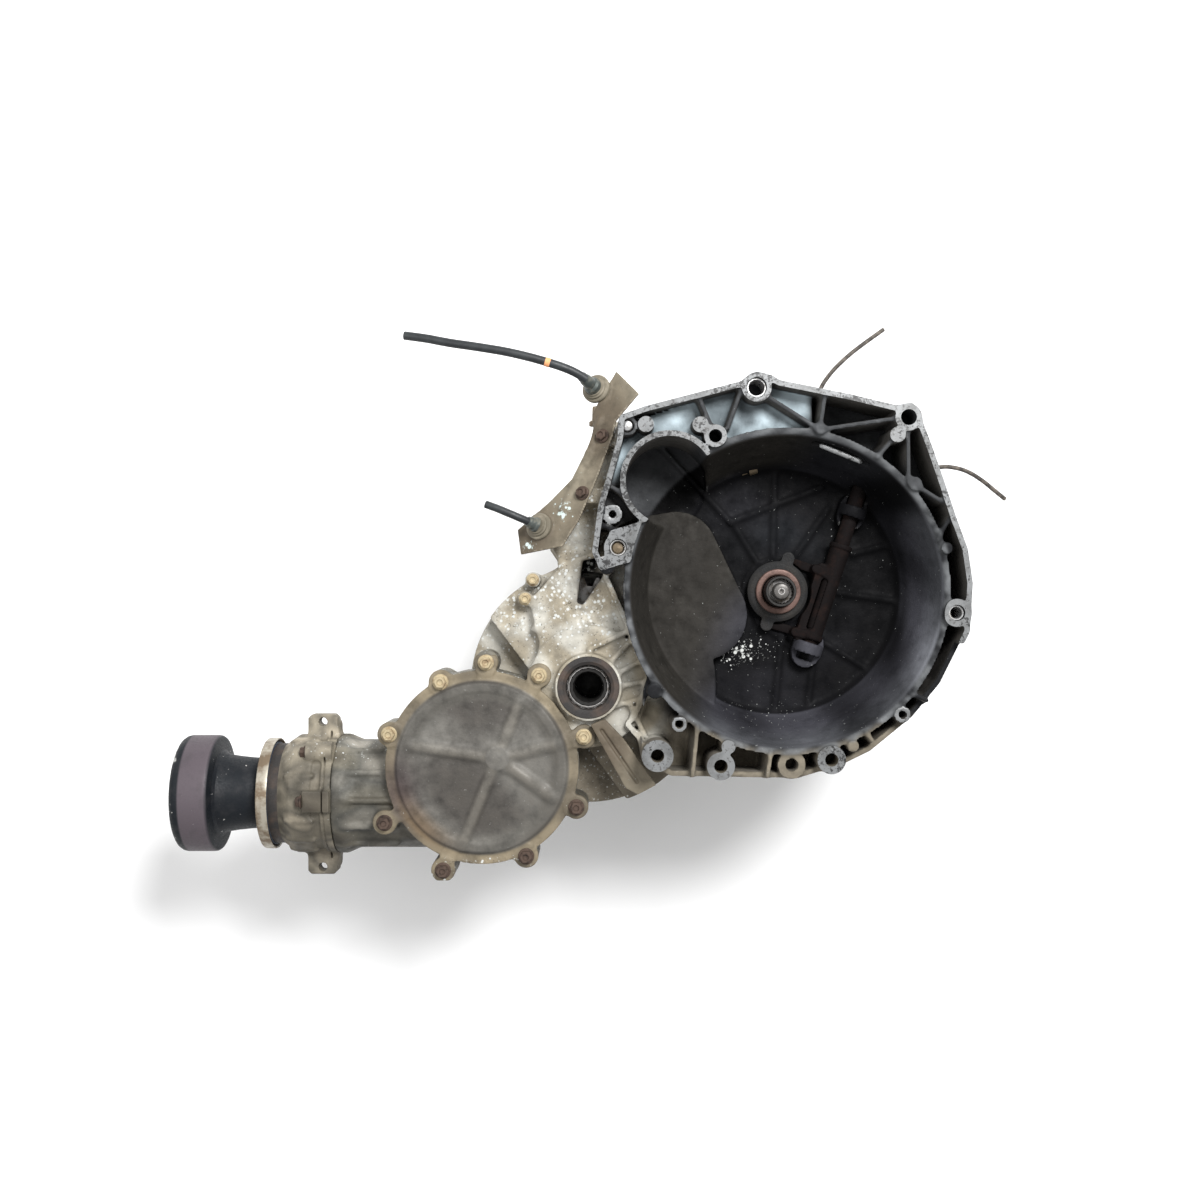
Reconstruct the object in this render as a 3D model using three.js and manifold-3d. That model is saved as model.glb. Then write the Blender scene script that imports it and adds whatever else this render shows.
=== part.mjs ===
// A transverse manual transmission with a bevel transfer drive, standing on its end cover, bell mouth up.
// Units are millimetres and +Z is up. The pieces are laid out about the input shaft's axis, with z = 0 on the
// engine mating plane, and the last lines move the whole assembly so that its base centre is the origin.
import * as THREE from 'three';
import { ConvexGeometry } from 'three/addons/geometries/ConvexGeometry.js';
import { mergeVertices } from 'three/addons/utils/BufferGeometryUtils.js';
import Module from 'manifold-3d';

const wasm = await Module();
wasm.setup();

// ---------------------------------------------------------------- driving dimensions

const GAP = 0.3; // clearance between touching pieces
const SAGITTA = 1.05; // the most that a flat of a round stretch departs from its circle

// heights, from the engine mating plane down
const RIM_Z = -6;
const LOW_WALL_Z = -15;
const SUPPORT_Z = -50;
const BOSS_FACE_Z = -38;
const BULGE_Z = -70;
const SADDLE_Z = -92;
const FLOOR_Z = -95;
const JOINT_Z = -125;
const CASE_END_Z = -315;
const BASE_Z = -345;
const WALL = 6;

// gear centres
const MODULE = 5;
const TRANSFER_MODULE = 6;
const GEARBOX_CENTRES = 85;
const FINAL_CENTRES = 140;
const TRANSFER_CENTRES = 138;
const INPUT = new THREE.Vector2(0, 0);
const DRIVESHAFT = new THREE.Vector2(-200, -99);
const OUTPUT = meetingPoint(INPUT, GEARBOX_CENTRES, DRIVESHAFT, FINAL_CENTRES);
const TRANSFER_DIRECTION = new THREE.Vector2(-0.799, -0.602).normalize();
const TRANSFER = DRIVESHAFT.clone().addScaledVector(TRANSFER_DIRECTION, TRANSFER_CENTRES);
const FORK_ROOM = new THREE.Vector2(-112, 45);

// teeth on the input shaft and on the gear it drives, with the height of the pair's lower face
const GEAR_WIDTH = 13;
const PAIRS = {
  reverse: { driver: 8, driven: 22, z: -145 },
  fifth: { driver: 20, driven: 14, z: -184 },
  first: { driver: 7, driven: 27, z: -200 },
  second: { driver: 10, driven: 24, z: -239 },
  third: { driver: 14, driven: 20, z: -255 },
  fourth: { driver: 17, driven: 17, z: -294 },
};
const IDLER_TEETH = 11;
const FINAL_DRIVE = { driver: 12, driven: 44, z: -122, width: 23 };
const TRANSFER_DRIVE = { driver: 17, driven: 29, z: -72, width: 12 };
const CROWN = { teeth: 24, z: -85, width: 10 };
const PINION_TEETH = 10;
const SLEEVE_HEIGHTS = { '5_r': -158, '1_2': -213, '3_4': -268 };
const RAIL_ANGLES = { '5_r': 140, '1_2': 118, '3_4': 96 };
const RAIL_REACH = 80;

// bell housing
const MOUTH_RADIUS = 157;
const MOUTH_WALL = 8;
const FLOOR_RADIUS = 130;
const STARTER = new THREE.Vector2(-118, 111);
const STARTER_RADIUS = 50;
const HUB_RADIUS = 36;
const HUB_Z = -90;

// differential and transfer housings
const RING_ROOM = 119;
const DIFF_RADIUS = 126;
const DRIVE_GEAR_ROOM = 58;
const DRIVESHAFT_BOSS = 35.5;
const TRANSFER_ROOM = 93;
const TRANSFER_RADIUS = 98.5;

// output line: it lies along -X
const PINION_Y = -218;
const PINION_Z = -115;
const TUBE_RADIUS = 58;
const TUBE_ROOM = 49;
const CARRIER_X = -469;
const CARRIER_LENGTH = 59;
const DEFLECTOR_X = -540;
const FLANGE_X = -598;
const FLANGE_FACE_X = -639;
const FLANGE_RADIUS = 62.4;

// clutch release cross shaft
const RELEASE_Z = -78;
const RELEASE_OFFSET = 48.7;
const RELEASE_ALONG = new THREE.Vector2(0.312, 0.95).normalize();
const RELEASE_ACROSS = new THREE.Vector2(RELEASE_ALONG.y, -RELEASE_ALONG.x);
const RELEASE_SHAFT_RADIUS = 8;

// ---------------------------------------------------------------- looks

const LOOKS = {
  dark_aluminium: { color: 0x4b4946, roughness: 0.75, metalness: 0.35 },
  pale_aluminium: { color: 0xa79f90, roughness: 0.8, metalness: 0.3 },
  cover_aluminium: { color: 0x6b6257, roughness: 0.8, metalness: 0.3 },
  gear_steel: { color: 0x9a9894, roughness: 0.35, metalness: 0.9 },
  bearing_steel: { color: 0xb4b2ae, roughness: 0.3, metalness: 0.9 },
  black_steel: { color: 0x26242a, roughness: 0.5, metalness: 0.5 },
  zinc_steel: { color: 0x9c8e75, roughness: 0.45, metalness: 0.7 },
  bracket_steel: { color: 0x8c7a5e, roughness: 0.75, metalness: 0.3 },
  rusty_steel: { color: 0x5d4334, roughness: 0.85, metalness: 0.3 },
  bolt_steel: { color: 0x9c8a62, roughness: 0.55, metalness: 0.6 },
  copper_ring: { color: 0xb98a78, roughness: 0.4, metalness: 0.7 },
  seal_rubber: { color: 0x4a3628, roughness: 0.8, metalness: 0 },
  black_plastic: { color: 0x1d1d1f, roughness: 0.55, metalness: 0 },
  cable_jacket: { color: 0x1a1a1c, roughness: 0.5, metalness: 0 },
};

const assembly = new THREE.Group();

function node(name, look, shape, x = 0, y = 0, z = 0, turn = 0) {
  const geometry = shape.isBufferGeometry ? shape : geometryOf(shape);
  const mesh = new THREE.Mesh(geometry, new THREE.MeshStandardMaterial(LOOKS[look]));
  mesh.name = name;
  mesh.position.set(x, y, z);
  mesh.rotation.z = turn;
  assembly.add(mesh);
  return mesh;
}

// ---------------------------------------------------------------- solids

function solid(geometry) {
  const plain = new THREE.BufferGeometry();
  plain.setAttribute('position', geometry.attributes.position.clone());
  plain.setIndex(geometry.index);
  const merged = mergeVertices(plain, 1e-4);
  const index = merged.index.array;
  const corners = [];
  for (let i = 0; i < index.length; i += 3) {
    const [a, b, c] = [index[i], index[i + 1], index[i + 2]];
    if (a !== b && b !== c && c !== a) corners.push(a, b, c);
  }
  return new wasm.Manifold(new wasm.Mesh({
    numProp: 3,
    vertProperties: new Float32Array(merged.attributes.position.array),
    triVerts: new Uint32Array(corners),
  }));
}

function geometryOf(shape) {
  const mesh = shape.getMesh();
  const geometry = new THREE.BufferGeometry();
  geometry.setAttribute('position', new THREE.BufferAttribute(mesh.vertProperties, mesh.numProp));
  geometry.setIndex(new THREE.BufferAttribute(mesh.triVerts, 1));
  return geometry;
}

function join(...shapes) {
  return shapes.flat().reduce((whole, shape) => whole.add(shape));
}

function cut(whole, ...shapes) {
  return shapes.flat().reduce((rest, shape) => rest.subtract(shape), whole);
}

// an even number of sides that keeps a flat within SAGITTA of its true circle
function sidesFor(radius) {
  return Math.max(8, 2 * Math.round(Math.PI / Math.acos(1 - SAGITTA / radius) / 2));
}

// an upright cylinder, or a cone when topRadius differs
function disc(centre, radius, low, high, topRadius = radius) {
  const geometry = new THREE.CylinderGeometry(topRadius, radius, high - low, sidesFor(radius));
  geometry.rotateX(Math.PI / 2);
  geometry.translate(centre.x, centre.y, (low + high) / 2);
  return solid(geometry);
}

function plate(points, low, high) {
  const outline = new THREE.Shape(points.map(([x, y]) => new THREE.Vector2(x, y)));
  const geometry = new THREE.ExtrudeGeometry(outline, { depth: high - low, bevelEnabled: false });
  geometry.translate(0, 0, low);
  return solid(geometry);
}

function block(x, y, z, width, depth, height) {
  const geometry = new THREE.BoxGeometry(width, depth, height);
  geometry.translate(x, y, z);
  return solid(geometry);
}

// an upright rib of rectangular section between two plan points
function rib([x1, y1], [x2, y2], width, low, high) {
  const along = new THREE.Vector2(x2 - x1, y2 - y1);
  const geometry = new THREE.BoxGeometry(along.length(), width, high - low);
  geometry.rotateZ(along.angle());
  geometry.translate((x1 + x2) / 2, (y1 + y2) / 2, (low + high) / 2);
  return solid(geometry);
}

function ribs(ends, width, low, high) {
  return ends.map(([from, to]) => rib(from, to, width, low, high));
}

// the convex skin around some level circles, each given as [centre, radius, z]
function skin(circles) {
  const points = circles.flatMap(([centre, radius, z]) => Array.from({ length: sidesFor(radius) }, (_, i) => {
    const angle = (i / sidesFor(radius)) * 2 * Math.PI;
    return new THREE.Vector3(
      centre.x + radius * Math.cos(angle), centre.y + radius * Math.sin(angle), z);
  }));
  return solid(new ConvexGeometry(points));
}

// a solid of revolution about the z axis from [radius, z] points, which may run either way round
function turned(profile) {
  const widest = Math.max(...profile.map(([r]) => r));
  const points = profile.map(([r, z]) => new THREE.Vector2(r, z));
  if (THREE.ShapeUtils.area(points) < 0) points.reverse();
  const geometry = new THREE.LatheGeometry(points, sidesFor(widest));
  geometry.rotateX(Math.PI / 2);
  return geometry;
}

function spun(centre, profile) {
  return solid(turned(profile).translate(centre.x, centre.y, 0));
}

// the output line's solids: [radius, x] points about the line through PINION_Y and PINION_Z
function lineTurned(profile) {
  const geometry = turned(profile);
  geometry.rotateY(Math.PI / 2);
  geometry.translate(0, PINION_Y, PINION_Z);
  return solid(geometry);
}

function lineDisc(radius, fromX, toX) {
  return lineTurned([[0, fromX], [radius, fromX], [radius, toX], [0, toX]]);
}

// a round bar between two points in space
function rod(from, to, radius) {
  const along = new THREE.Vector3().subVectors(to, from);
  const geometry = new THREE.CylinderGeometry(radius, radius, along.length(), sidesFor(radius));
  geometry.applyQuaternion(
    new THREE.Quaternion().setFromUnitVectors(new THREE.Vector3(0, 1, 0), along.clone().normalize()));
  geometry.translate((from.x + to.x) / 2, (from.y + to.y) / 2, (from.z + to.z) / 2);
  return solid(geometry);
}

function meetingPoint(first, firstReach, second, secondReach) {
  const between = second.clone().sub(first);
  const distance = between.length();
  const along = (firstReach ** 2 - secondReach ** 2 + distance ** 2) / (2 * distance);
  const aside = Math.sqrt(firstReach ** 2 - along ** 2);
  const unit = between.normalize();
  return first.clone().addScaledVector(unit, along).add(new THREE.Vector2(unit.y, -unit.x).multiplyScalar(aside));
}

function polar(centre, reach, degrees) {
  const angle = THREE.MathUtils.degToRad(degrees);
  return new THREE.Vector2(centre.x + reach * Math.cos(angle), centre.y + reach * Math.sin(angle));
}

// moves a counterclockwise or clockwise outline inwards by a distance
function inset(points, distance) {
  const turn = Math.sign(THREE.ShapeUtils.area(points.map(([x, y]) => new THREE.Vector2(x, y))));
  return points.map(([x, y], i) => {
    const [px, py] = points[(i + points.length - 1) % points.length];
    const [nx, ny] = points[(i + 1) % points.length];
    const before = new THREE.Vector2(x - px, y - py).normalize();
    const after = new THREE.Vector2(nx - x, ny - y).normalize();
    const normal = new THREE.Vector2(-(before.y + after.y), before.x + after.x).normalize();
    const mitre = Math.max(0.5, normal.x * -before.y + normal.y * before.x);
    return [x + (turn * distance * normal.x) / mitre, y + (turn * distance * normal.y) / mitre];
  });
}

// ---------------------------------------------------------------- gears

const pitchRadius = (teeth, module = MODULE) => (teeth * module) / 2;

function gearShape(teeth, boreRadius, module) {
  const root = pitchRadius(teeth, module) - 1.05 * module;
  const tip = pitchRadius(teeth, module) + 0.8 * module;
  const corners = [[root, -0.3], [tip, -0.1], [tip, 0.1], [root, 0.3]];
  const points = Array.from({ length: teeth }, (_, tooth) => corners.map(([radius, share]) => {
    const angle = ((tooth + share) / teeth) * 2 * Math.PI;
    return new THREE.Vector2(radius * Math.cos(angle), radius * Math.sin(angle));
  })).flat();
  const outline = new THREE.Shape(points);
  if (boreRadius) outline.holes.push(new THREE.Path().absarc(0, 0, boreRadius, 0, 2 * Math.PI, true));
  return outline;
}

function gear(teeth, width, boreRadius = 0, module = MODULE) {
  return new THREE.ExtrudeGeometry(gearShape(teeth, boreRadius, module), {
    depth: width, bevelEnabled: false, curveSegments: 6,
  });
}

function gearSolid(teeth, width, low, centre, phase, module = MODULE) {
  const geometry = gear(teeth, width, 0, module);
  geometry.rotateZ(phase);
  geometry.translate(centre.x, centre.y, low);
  return solid(geometry);
}

function angleTo(from, to) {
  return to.clone().sub(from).angle();
}

// the turn that puts a driven gear's gap on the tooth that its driver points along the line of centres
function meshTurn(driverCentre, driverTeeth, driverTurn, drivenCentre, drivenTeeth) {
  const line = angleTo(driverCentre, drivenCentre);
  return line + Math.PI - Math.PI / drivenTeeth - ((driverTurn - line) * driverTeeth) / drivenTeeth;
}

// the plane of the cable bracket, which two lugs of the bell housing end under
const BRACKET_LINE = new THREE.Vector2(-0.438, -0.899).normalize();
const BRACKET_TILT = THREE.MathUtils.degToRad(28);
const BRACKET_POINT = new THREE.Vector3(-210, 132, -46);
const BRACKET_NORMAL = new THREE.Vector3(
  BRACKET_LINE.y * Math.sin(BRACKET_TILT), -BRACKET_LINE.x * Math.sin(BRACKET_TILT), Math.cos(BRACKET_TILT));

// a wide slab along the bracket's plane, between two heights above it
function bracketSlab(low, high) {
  const slab = new THREE.BoxGeometry(400, 400, high - low);
  slab.applyQuaternion(new THREE.Quaternion().setFromUnitVectors(new THREE.Vector3(0, 0, 1), BRACKET_NORMAL));
  const middle = BRACKET_POINT.clone().addScaledVector(BRACKET_NORMAL, (low + high) / 2);
  slab.translate(middle.x, middle.y, middle.z);
  return solid(slab);
}

function onBracket(x, y, lift = 0) {
  const fall = BRACKET_NORMAL.x * (x - BRACKET_POINT.x) + BRACKET_NORMAL.y * (y - BRACKET_POINT.y);
  const z = BRACKET_POINT.z - fall / BRACKET_NORMAL.z;
  return new THREE.Vector3(x, y, z).addScaledVector(BRACKET_NORMAL, lift);
}

// routes of the free cords, in layout coordinates
const SHIFT_CABLE = [
  [-202, 216, -26], [-213.1, 222.2, -22.8], [-225, 227.1, -20.9], [-237.4, 231.1, -20], [-249.9, 234.8, -19.8],
  [-262.5, 238.2, -20.1], [-275.1, 241.3, -20.8], [-287.8, 244.1, -21.9], [-300.6, 246.5, -23.3],
  [-313.3, 248.8, -25], [-326, 251, -27], [-338.7, 253.2, -29.2], [-351.3, 255.8, -31.4],
  [-363.9, 258.6, -33.6], [-376.4, 260.9, -36.2], [-389, 263, -39],
];
const SELECT_CABLE = [
  [-258, 70, -36], [-261.2, 71.3, -34.6], [-264.3, 72.6, -33.1], [-267.5, 74, -31.8], [-270.8, 75.3, -30.8],
  [-274.2, 76.7, -30.3], [-277.6, 78.2, -30], [-281, 79.6, -30], [-284.5, 81, -30.1], [-287.9, 82.5, -30.3],
  [-291.3, 83.9, -30.7], [-294.7, 85.3, -31.1], [-298.1, 86.5, -31.7], [-301.6, 87.8, -32.3], [-305, 89, -33],
];
const BREATHER_LEAD = [
  [33, 160, -88], [35.8, 170.1, -89.3], [38.1, 180.2, -90.7], [40.1, 190.5, -92], [42.5, 200.7, -92.7],
  [45.6, 210.8, -93.3], [49.7, 220.4, -94], [55.5, 229.2, -94.5], [62.1, 237.3, -95.1], [69.5, 244.8, -95.5],
  [77.2, 251.9, -96.6], [85.1, 258.5, -98.5], [93.3, 264.8, -100.5], [101.6, 271, -102.6],
  [109.8, 277, -105.2], [118, 283, -108],
];
const SWITCH_LEAD = [
  [127, 90, -92], [133, 98, -92.8], [139, 106.1, -93.1], [145.2, 114, -93.1], [152.3, 121.2, -92.6],
  [160.3, 127.2, -92], [169.4, 131.4, -91.9], [179.3, 133.3, -92.1], [189.3, 132.6, -92.7], [199, 130.5, -93.7],
  [208.3, 126.9, -95.1], [217, 122.1, -96.8], [225.3, 116.8, -98.8], [233.2, 111, -101.1],
  [241.1, 105.4, -103.9], [249, 100, -107],
];

// ---------------------------------------------------------------- bell housing

const BELL_OUTLINE = [
  [-171, 151], [-168, 176], [-143, 185], [-47, 210], [-31, 219], [-16, 216], [-8, 211], [62, 197],
  [108, 186], [124, 188], [133, 175], [146, 140], [158, 105], [169, 72], [180, 42], [185, 8], [182, -41],
  [156, -93], [128, -127], [85, -162], [56, -176], [13, -189], [-53, -188], [-116, -187], [-143, -174],
  [-150, -152], [-163, -138], [-150, -118], [-140, -88], [-158, -44], [-196, 39], [-190, 84],
];

// machined bosses of the mating face: [x, y, boss radius, hole radius, top]
const MATING_BOSSES = [
  [-31, 204, 14.7, 10, 0], [-72.4, 155.3, 11.4, 6.7, 0], [-160.5, 165.8, 10, 6.7, -3],
  [-175.6, 77, 10, 3.5, -2], [-170, 43.5, 14, 8.7, 0], [121, 174, 13.3, 8, 0], [169.3, -21.8, 14, 8, 0],
  [-130.4, -165, 16, 6.7, 0], [-108.5, -133.5, 8, 4, -2], [-67, -175.4, 14, 6.8, 0],
  [5, -175, 14.3, 6.3, -8], [43.8, -169, 14.3, 6.6, 0], [115.2, -123.8, 8.4, 3.8, -2],
];
const SOLID_PADS = [
  [-142, 167, 8], [-87.5, 166.7, 8], [110, 156.6, 7.7], [-59.4, -155.8, 7], [65.6, -155.4, 6],
  [32.7, 162.2, 6], [128, 107.5, 7], [159.7, 43, 6], [-181.3, 24.6, 8], [-133, -100, 8],
];
const POCKET_RIBS = [
  [[-88, 193], [-77, 167]], [[-47, 200], [-60, 164]], [[32.7, 162], [-24, 198]], [[32.7, 162], [38, 198]],
  [[32.7, 162], [113, 174]], [[104, 150], [90, 134]], [[121, 163], [122, 109]], [[128, 107], [155, 90]],
  [[162, 72], [150, 50]], [[-175, 104], [-156, 90]], [[-186, 66], [-160, 57]], [[176, -30], [160, -28]],
  [[140, -110], [120, -100]], [[85, -150], [78, -140]], [[-20, -186], [-16, -160]],
  [[-95, -185], [-90, -135]],
];
const FLOOR_RIBS = [
  [[-3.6, 36], [-1.3, 140]], [[16, 32], [55, 88]], [[-21, 32], [-44, 70]], [[-49, 74], [48, 111]],
  [[-49, 74], [-125, 156]], [[81, 40], [124, 51]], [[35, 3], [132, -11]], [[34, -44], [106, -88]],
  [[-20, -32], [18, -60]], [[7, -36], [-2.5, -132]], [[39, -78], [34, -118]],
];
const BRACKET_LUGS = [[[-169, 158], [-186, 158]], [[-182, 98], [-206, 98]]];
const DRIVESHAFT_RIBS = [
  [[-199, -60], [-150, -37]], [[-178, -74], [-150, -45]], [[-168, -84], [-142, -70]],
  [[-166, -98], [-136, -92]], [[-170, -118], [-130, -106]], [[-156, -120], [-142, -148]],
];

function tubRadius(z) {
  return FLOOR_RADIUS + ((MOUTH_RADIUS - FLOOR_RADIUS) * (z - FLOOR_Z)) / (RIM_Z - FLOOR_Z);
}

function coverBolts() {
  const around = [87.7, 115.7, 58, 160.3, 16.8, -22.7, -63.3, -110.6, -150.4];
  const reach = [108.5, 98, 112, 101.5, 110.3, 106, 102.3, 113.4, 115.4];
  return around.map((degrees, i) => polar(TRANSFER, reach[i], degrees));
}

function releasePoint(along, across = RELEASE_OFFSET, z = RELEASE_Z) {
  const plan = RELEASE_ACROSS.clone().multiplyScalar(across).addScaledVector(RELEASE_ALONG, along);
  return new THREE.Vector3(plan.x, plan.y, z);
}

// the boss that a lead leaves by, from the tub's wall out to the lead's start
function leadGland([start, next]) {
  const end = new THREE.Vector3(...start);
  const along = new THREE.Vector3(...next).sub(end).normalize();
  const reach = Math.hypot(end.x, end.y) - tubRadius(end.z) - 2;
  return rod(end.clone().addScaledVector(along, -reach), end.clone().addScaledVector(along, -GAP), 6);
}

// an upright lug whose top lies flat under the cable bracket
function bracketLug([root, end]) {
  return cut(rib(root, end, 15, -66, 0), bracketSlab(-2 - GAP, 100));
}

function bellHousing() {
  const skirtFloor = -66;
  const skirt = cut(
    plate(BELL_OUTLINE, skirtFloor, 0),
    plate(inset(BELL_OUTLINE, 5.5), skirtFloor + 6, 1),
    plate([[200, -52], [200, -210], [-165, -210], [-165, -60]], LOW_WALL_Z, 1),
    plate([[-148, -210], [-210, -210], [-210, 22], [-140, 22]], SUPPORT_Z + 8, 1),
  );
  const shallowFloor = plate(
    [[-168, 148], [-166, 170], [-47, 205], [-31, 214], [-10, 207], [28, 200], [28, 140], [-110, 90],
      [-186, 60], [-186, 84]], skirtFloor + 1, -24);
  const tub = join(
    disc(INPUT, tubRadius(FLOOR_Z - 7) + MOUTH_WALL, FLOOR_Z - 7, RIM_Z, MOUTH_RADIUS + MOUTH_WALL),
    disc(STARTER, STARTER_RADIUS, FLOOR_Z - 7, 0),
  );
  const bosses = MATING_BOSSES.map(([x, y, radius, , top]) => (
    disc({ x, y }, radius, skirtFloor + 1, top)));
  const pads = SOLID_PADS.map(([x, y, radius]) => disc({ x, y }, radius, skirtFloor + 1, 0));
  const mouthTab = plate([[-178, 60], [-146, 70], [-154, 43], [-156.5, 29], [-186, 22]], -16, 0);
  const outside = join(
    skirt, shallowFloor, tub, bosses, pads, mouthTab,
    ribs(POCKET_RIBS, 5, skirtFloor + 1, -3),
    [BREATHER_LEAD, SWITCH_LEAD].map(leadGland), BRACKET_LUGS.map(bracketLug),
  );

  const gearRoomFlange = skin([
    [INPUT, 88, JOINT_Z], [INPUT, 88, FLOOR_Z - 5], [OUTPUT, 98, JOINT_Z], [OUTPUT, 98, FLOOR_Z - 5],
    [FORK_ROOM, 60, JOINT_Z], [FORK_ROOM, 60, FLOOR_Z - 5],
  ]);
  const towardTransfer = plate(transferSide(0), SADDLE_Z - GAP, 1);
  const diffRoom = cut(
    join(disc(DRIVESHAFT, DIFF_RADIUS, JOINT_Z, BULGE_Z), disc(OUTPUT, 46, JOINT_Z, BULGE_Z - 2)),
    towardTransfer,
  );
  const driveshaftHead = join(
    disc(DRIVESHAFT, DRIVE_GEAR_ROOM + 5, SADDLE_Z - 4, SUPPORT_Z - GAP),
    disc(DRIVESHAFT, DRIVESHAFT_BOSS, SUPPORT_Z - 1, BOSS_FACE_Z, DRIVESHAFT_BOSS - 1),
    coverBolts().slice(2, 5).filter((_, i) => i !== 1).map((at) => (
      disc(at, 12, SADDLE_Z - 4, SUPPORT_Z - GAP))),
  );
  const gearbox = join(
    gearRoomFlange, diffRoom, driveshaftHead,
    ribs(DRIVESHAFT_RIBS, 5.5, BULGE_Z - 1, SUPPORT_Z + 6),
    plate([[-158, -40], [-196, 39], [-226, 30], [-262, -10], [-250, -60], [-215, -48]], -125, SUPPORT_Z - 6),
  );

  const bulge = join(
    disc(DRIVESHAFT, DIFF_RADIUS + 8, FLOOR_Z - 1, BULGE_Z), disc(OUTPUT, 48, FLOOR_Z - 1, BULGE_Z));
  const tubRoom = cut(
    join(
      disc(INPUT, FLOOR_RADIUS, FLOOR_Z, RIM_Z, MOUTH_RADIUS),
      disc(INPUT, MOUTH_RADIUS, RIM_Z - 0.01, 1),
      disc(STARTER, STARTER_RADIUS - 6, FLOOR_Z, 1),
    ),
    bulge,
  );
  const lowerRooms = [
    skin([
      [INPUT, 82, JOINT_Z - 1], [INPUT, 82, FLOOR_Z - 7], [OUTPUT, 91, JOINT_Z - 1], [OUTPUT, 91, FLOOR_Z - 7],
      [FORK_ROOM, 54, JOINT_Z - 1], [FORK_ROOM, 54, FLOOR_Z - 7],
    ]),
    disc(DRIVESHAFT, RING_ROOM, JOINT_Z - 1, SADDLE_Z - 5),
    cut(disc(DRIVESHAFT, RING_ROOM, SADDLE_Z - 6, BULGE_Z - 7),
      plate(transferSide(-6), SADDLE_Z - 8, BULGE_Z)),
    disc(DRIVESHAFT, DRIVE_GEAR_ROOM, SADDLE_Z - 6, TRANSFER_DRIVE.z + TRANSFER_DRIVE.width + 2),
    disc(OUTPUT, 26.3, FLOOR_Z - 8, -80),
  ];
  const floorDetail = [
    ribs(FLOOR_RIBS, 4.5, FLOOR_Z - 1, FLOOR_Z + 5).map((part) => part.subtract(bulge)),
    disc(INPUT, HUB_RADIUS, JOINT_Z + 2, HUB_Z),
    disc({ x: -53.6, y: 127.5 }, 7, FLOOR_Z - 1, FLOOR_Z + 14),
    releaseBoss(-53, 15), releaseBoss(98, 14),
  ].flat();
  const holes = [
    MATING_BOSSES.map(([x, y, , hole, top]) => disc({ x, y }, hole, -40, top + 1)),
    disc(INPUT, 26.3, JOINT_Z - 1, -104),
    disc(INPUT, 14.5, JOINT_Z - 1, HUB_Z + 1),
    disc(INPUT, 24.3, HUB_Z - 5, HUB_Z + 1),
    disc(DRIVESHAFT, 30, -62, -45.5),
    disc(DRIVESHAFT, 26.3, -46, BOSS_FACE_Z + 1),
    disc(TRANSFER, TRANSFER_ROOM, SADDLE_Z - GAP, SUPPORT_Z - 7),
    [2, 4].map((i) => disc(coverBolts()[i], 4.6, -64, SUPPORT_Z + 1)),
    disc(OUTPUT, 38, FLOOR_Z - 8, FLOOR_Z - 2),
    rod(releasePoint(-60), releasePoint(172), RELEASE_SHAFT_RADIUS + 1),
    windowCut(),
  ].flat();
  return cut(join(cut(join(outside, gearbox), tubRoom), floorDetail), lowerRooms, holes);
}

// a plan half plane on the transfer side of the driveshaft axis, as a long rectangle
function transferSide(shift) {
  const along = TRANSFER_DIRECTION;
  const aside = new THREE.Vector2(-along.y, along.x);
  return [[shift + 40, -200], [400, -200], [400, 200], [shift + 40, 200]].map(([forward, sideways]) => [
    DRIVESHAFT.x + along.x * forward + aside.x * sideways,
    DRIVESHAFT.y + along.y * forward + aside.y * sideways,
  ]);
}

function releaseBoss(along, radius) {
  const centre = releasePoint(along);
  const across = releasePoint(along + 12);
  return cut(
    join(
      rod(centre, across, radius),
      rib([centre.x, centre.y], [across.x, across.y], 2 * radius, FLOOR_Z - 1, RELEASE_Z),
    ),
    disc(centre, 80, -200, FLOOR_Z - 1),
  );
}

function windowCut() {
  const at = polar(INPUT, 152, 68);
  const geometry = new THREE.BoxGeometry(20, 46, 8);
  geometry.rotateZ(THREE.MathUtils.degToRad(68));
  geometry.translate(at.x, at.y, -20);
  return solid(geometry);
}

node('bell_housing', 'dark_aluminium', bellHousing());

// ---------------------------------------------------------------- gear case and end cover

const POSTS = [{ x: -283, y: -30 }, { x: -228, y: -196 }];
const DIFF_END_Z = -232;
const SELECTOR = { x: -130, z: -168, low: 104, high: 158 };

function gearRoom(grow, low, high) {
  return skin([
    [INPUT, 62 + grow, high], [OUTPUT, 76 + grow, high], [FORK_ROOM, 48 + grow, high],
    [INPUT, 58 + grow, low], [OUTPUT, 73 + grow, low], [FORK_ROOM, 44 + grow, low],
  ]);
}

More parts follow.
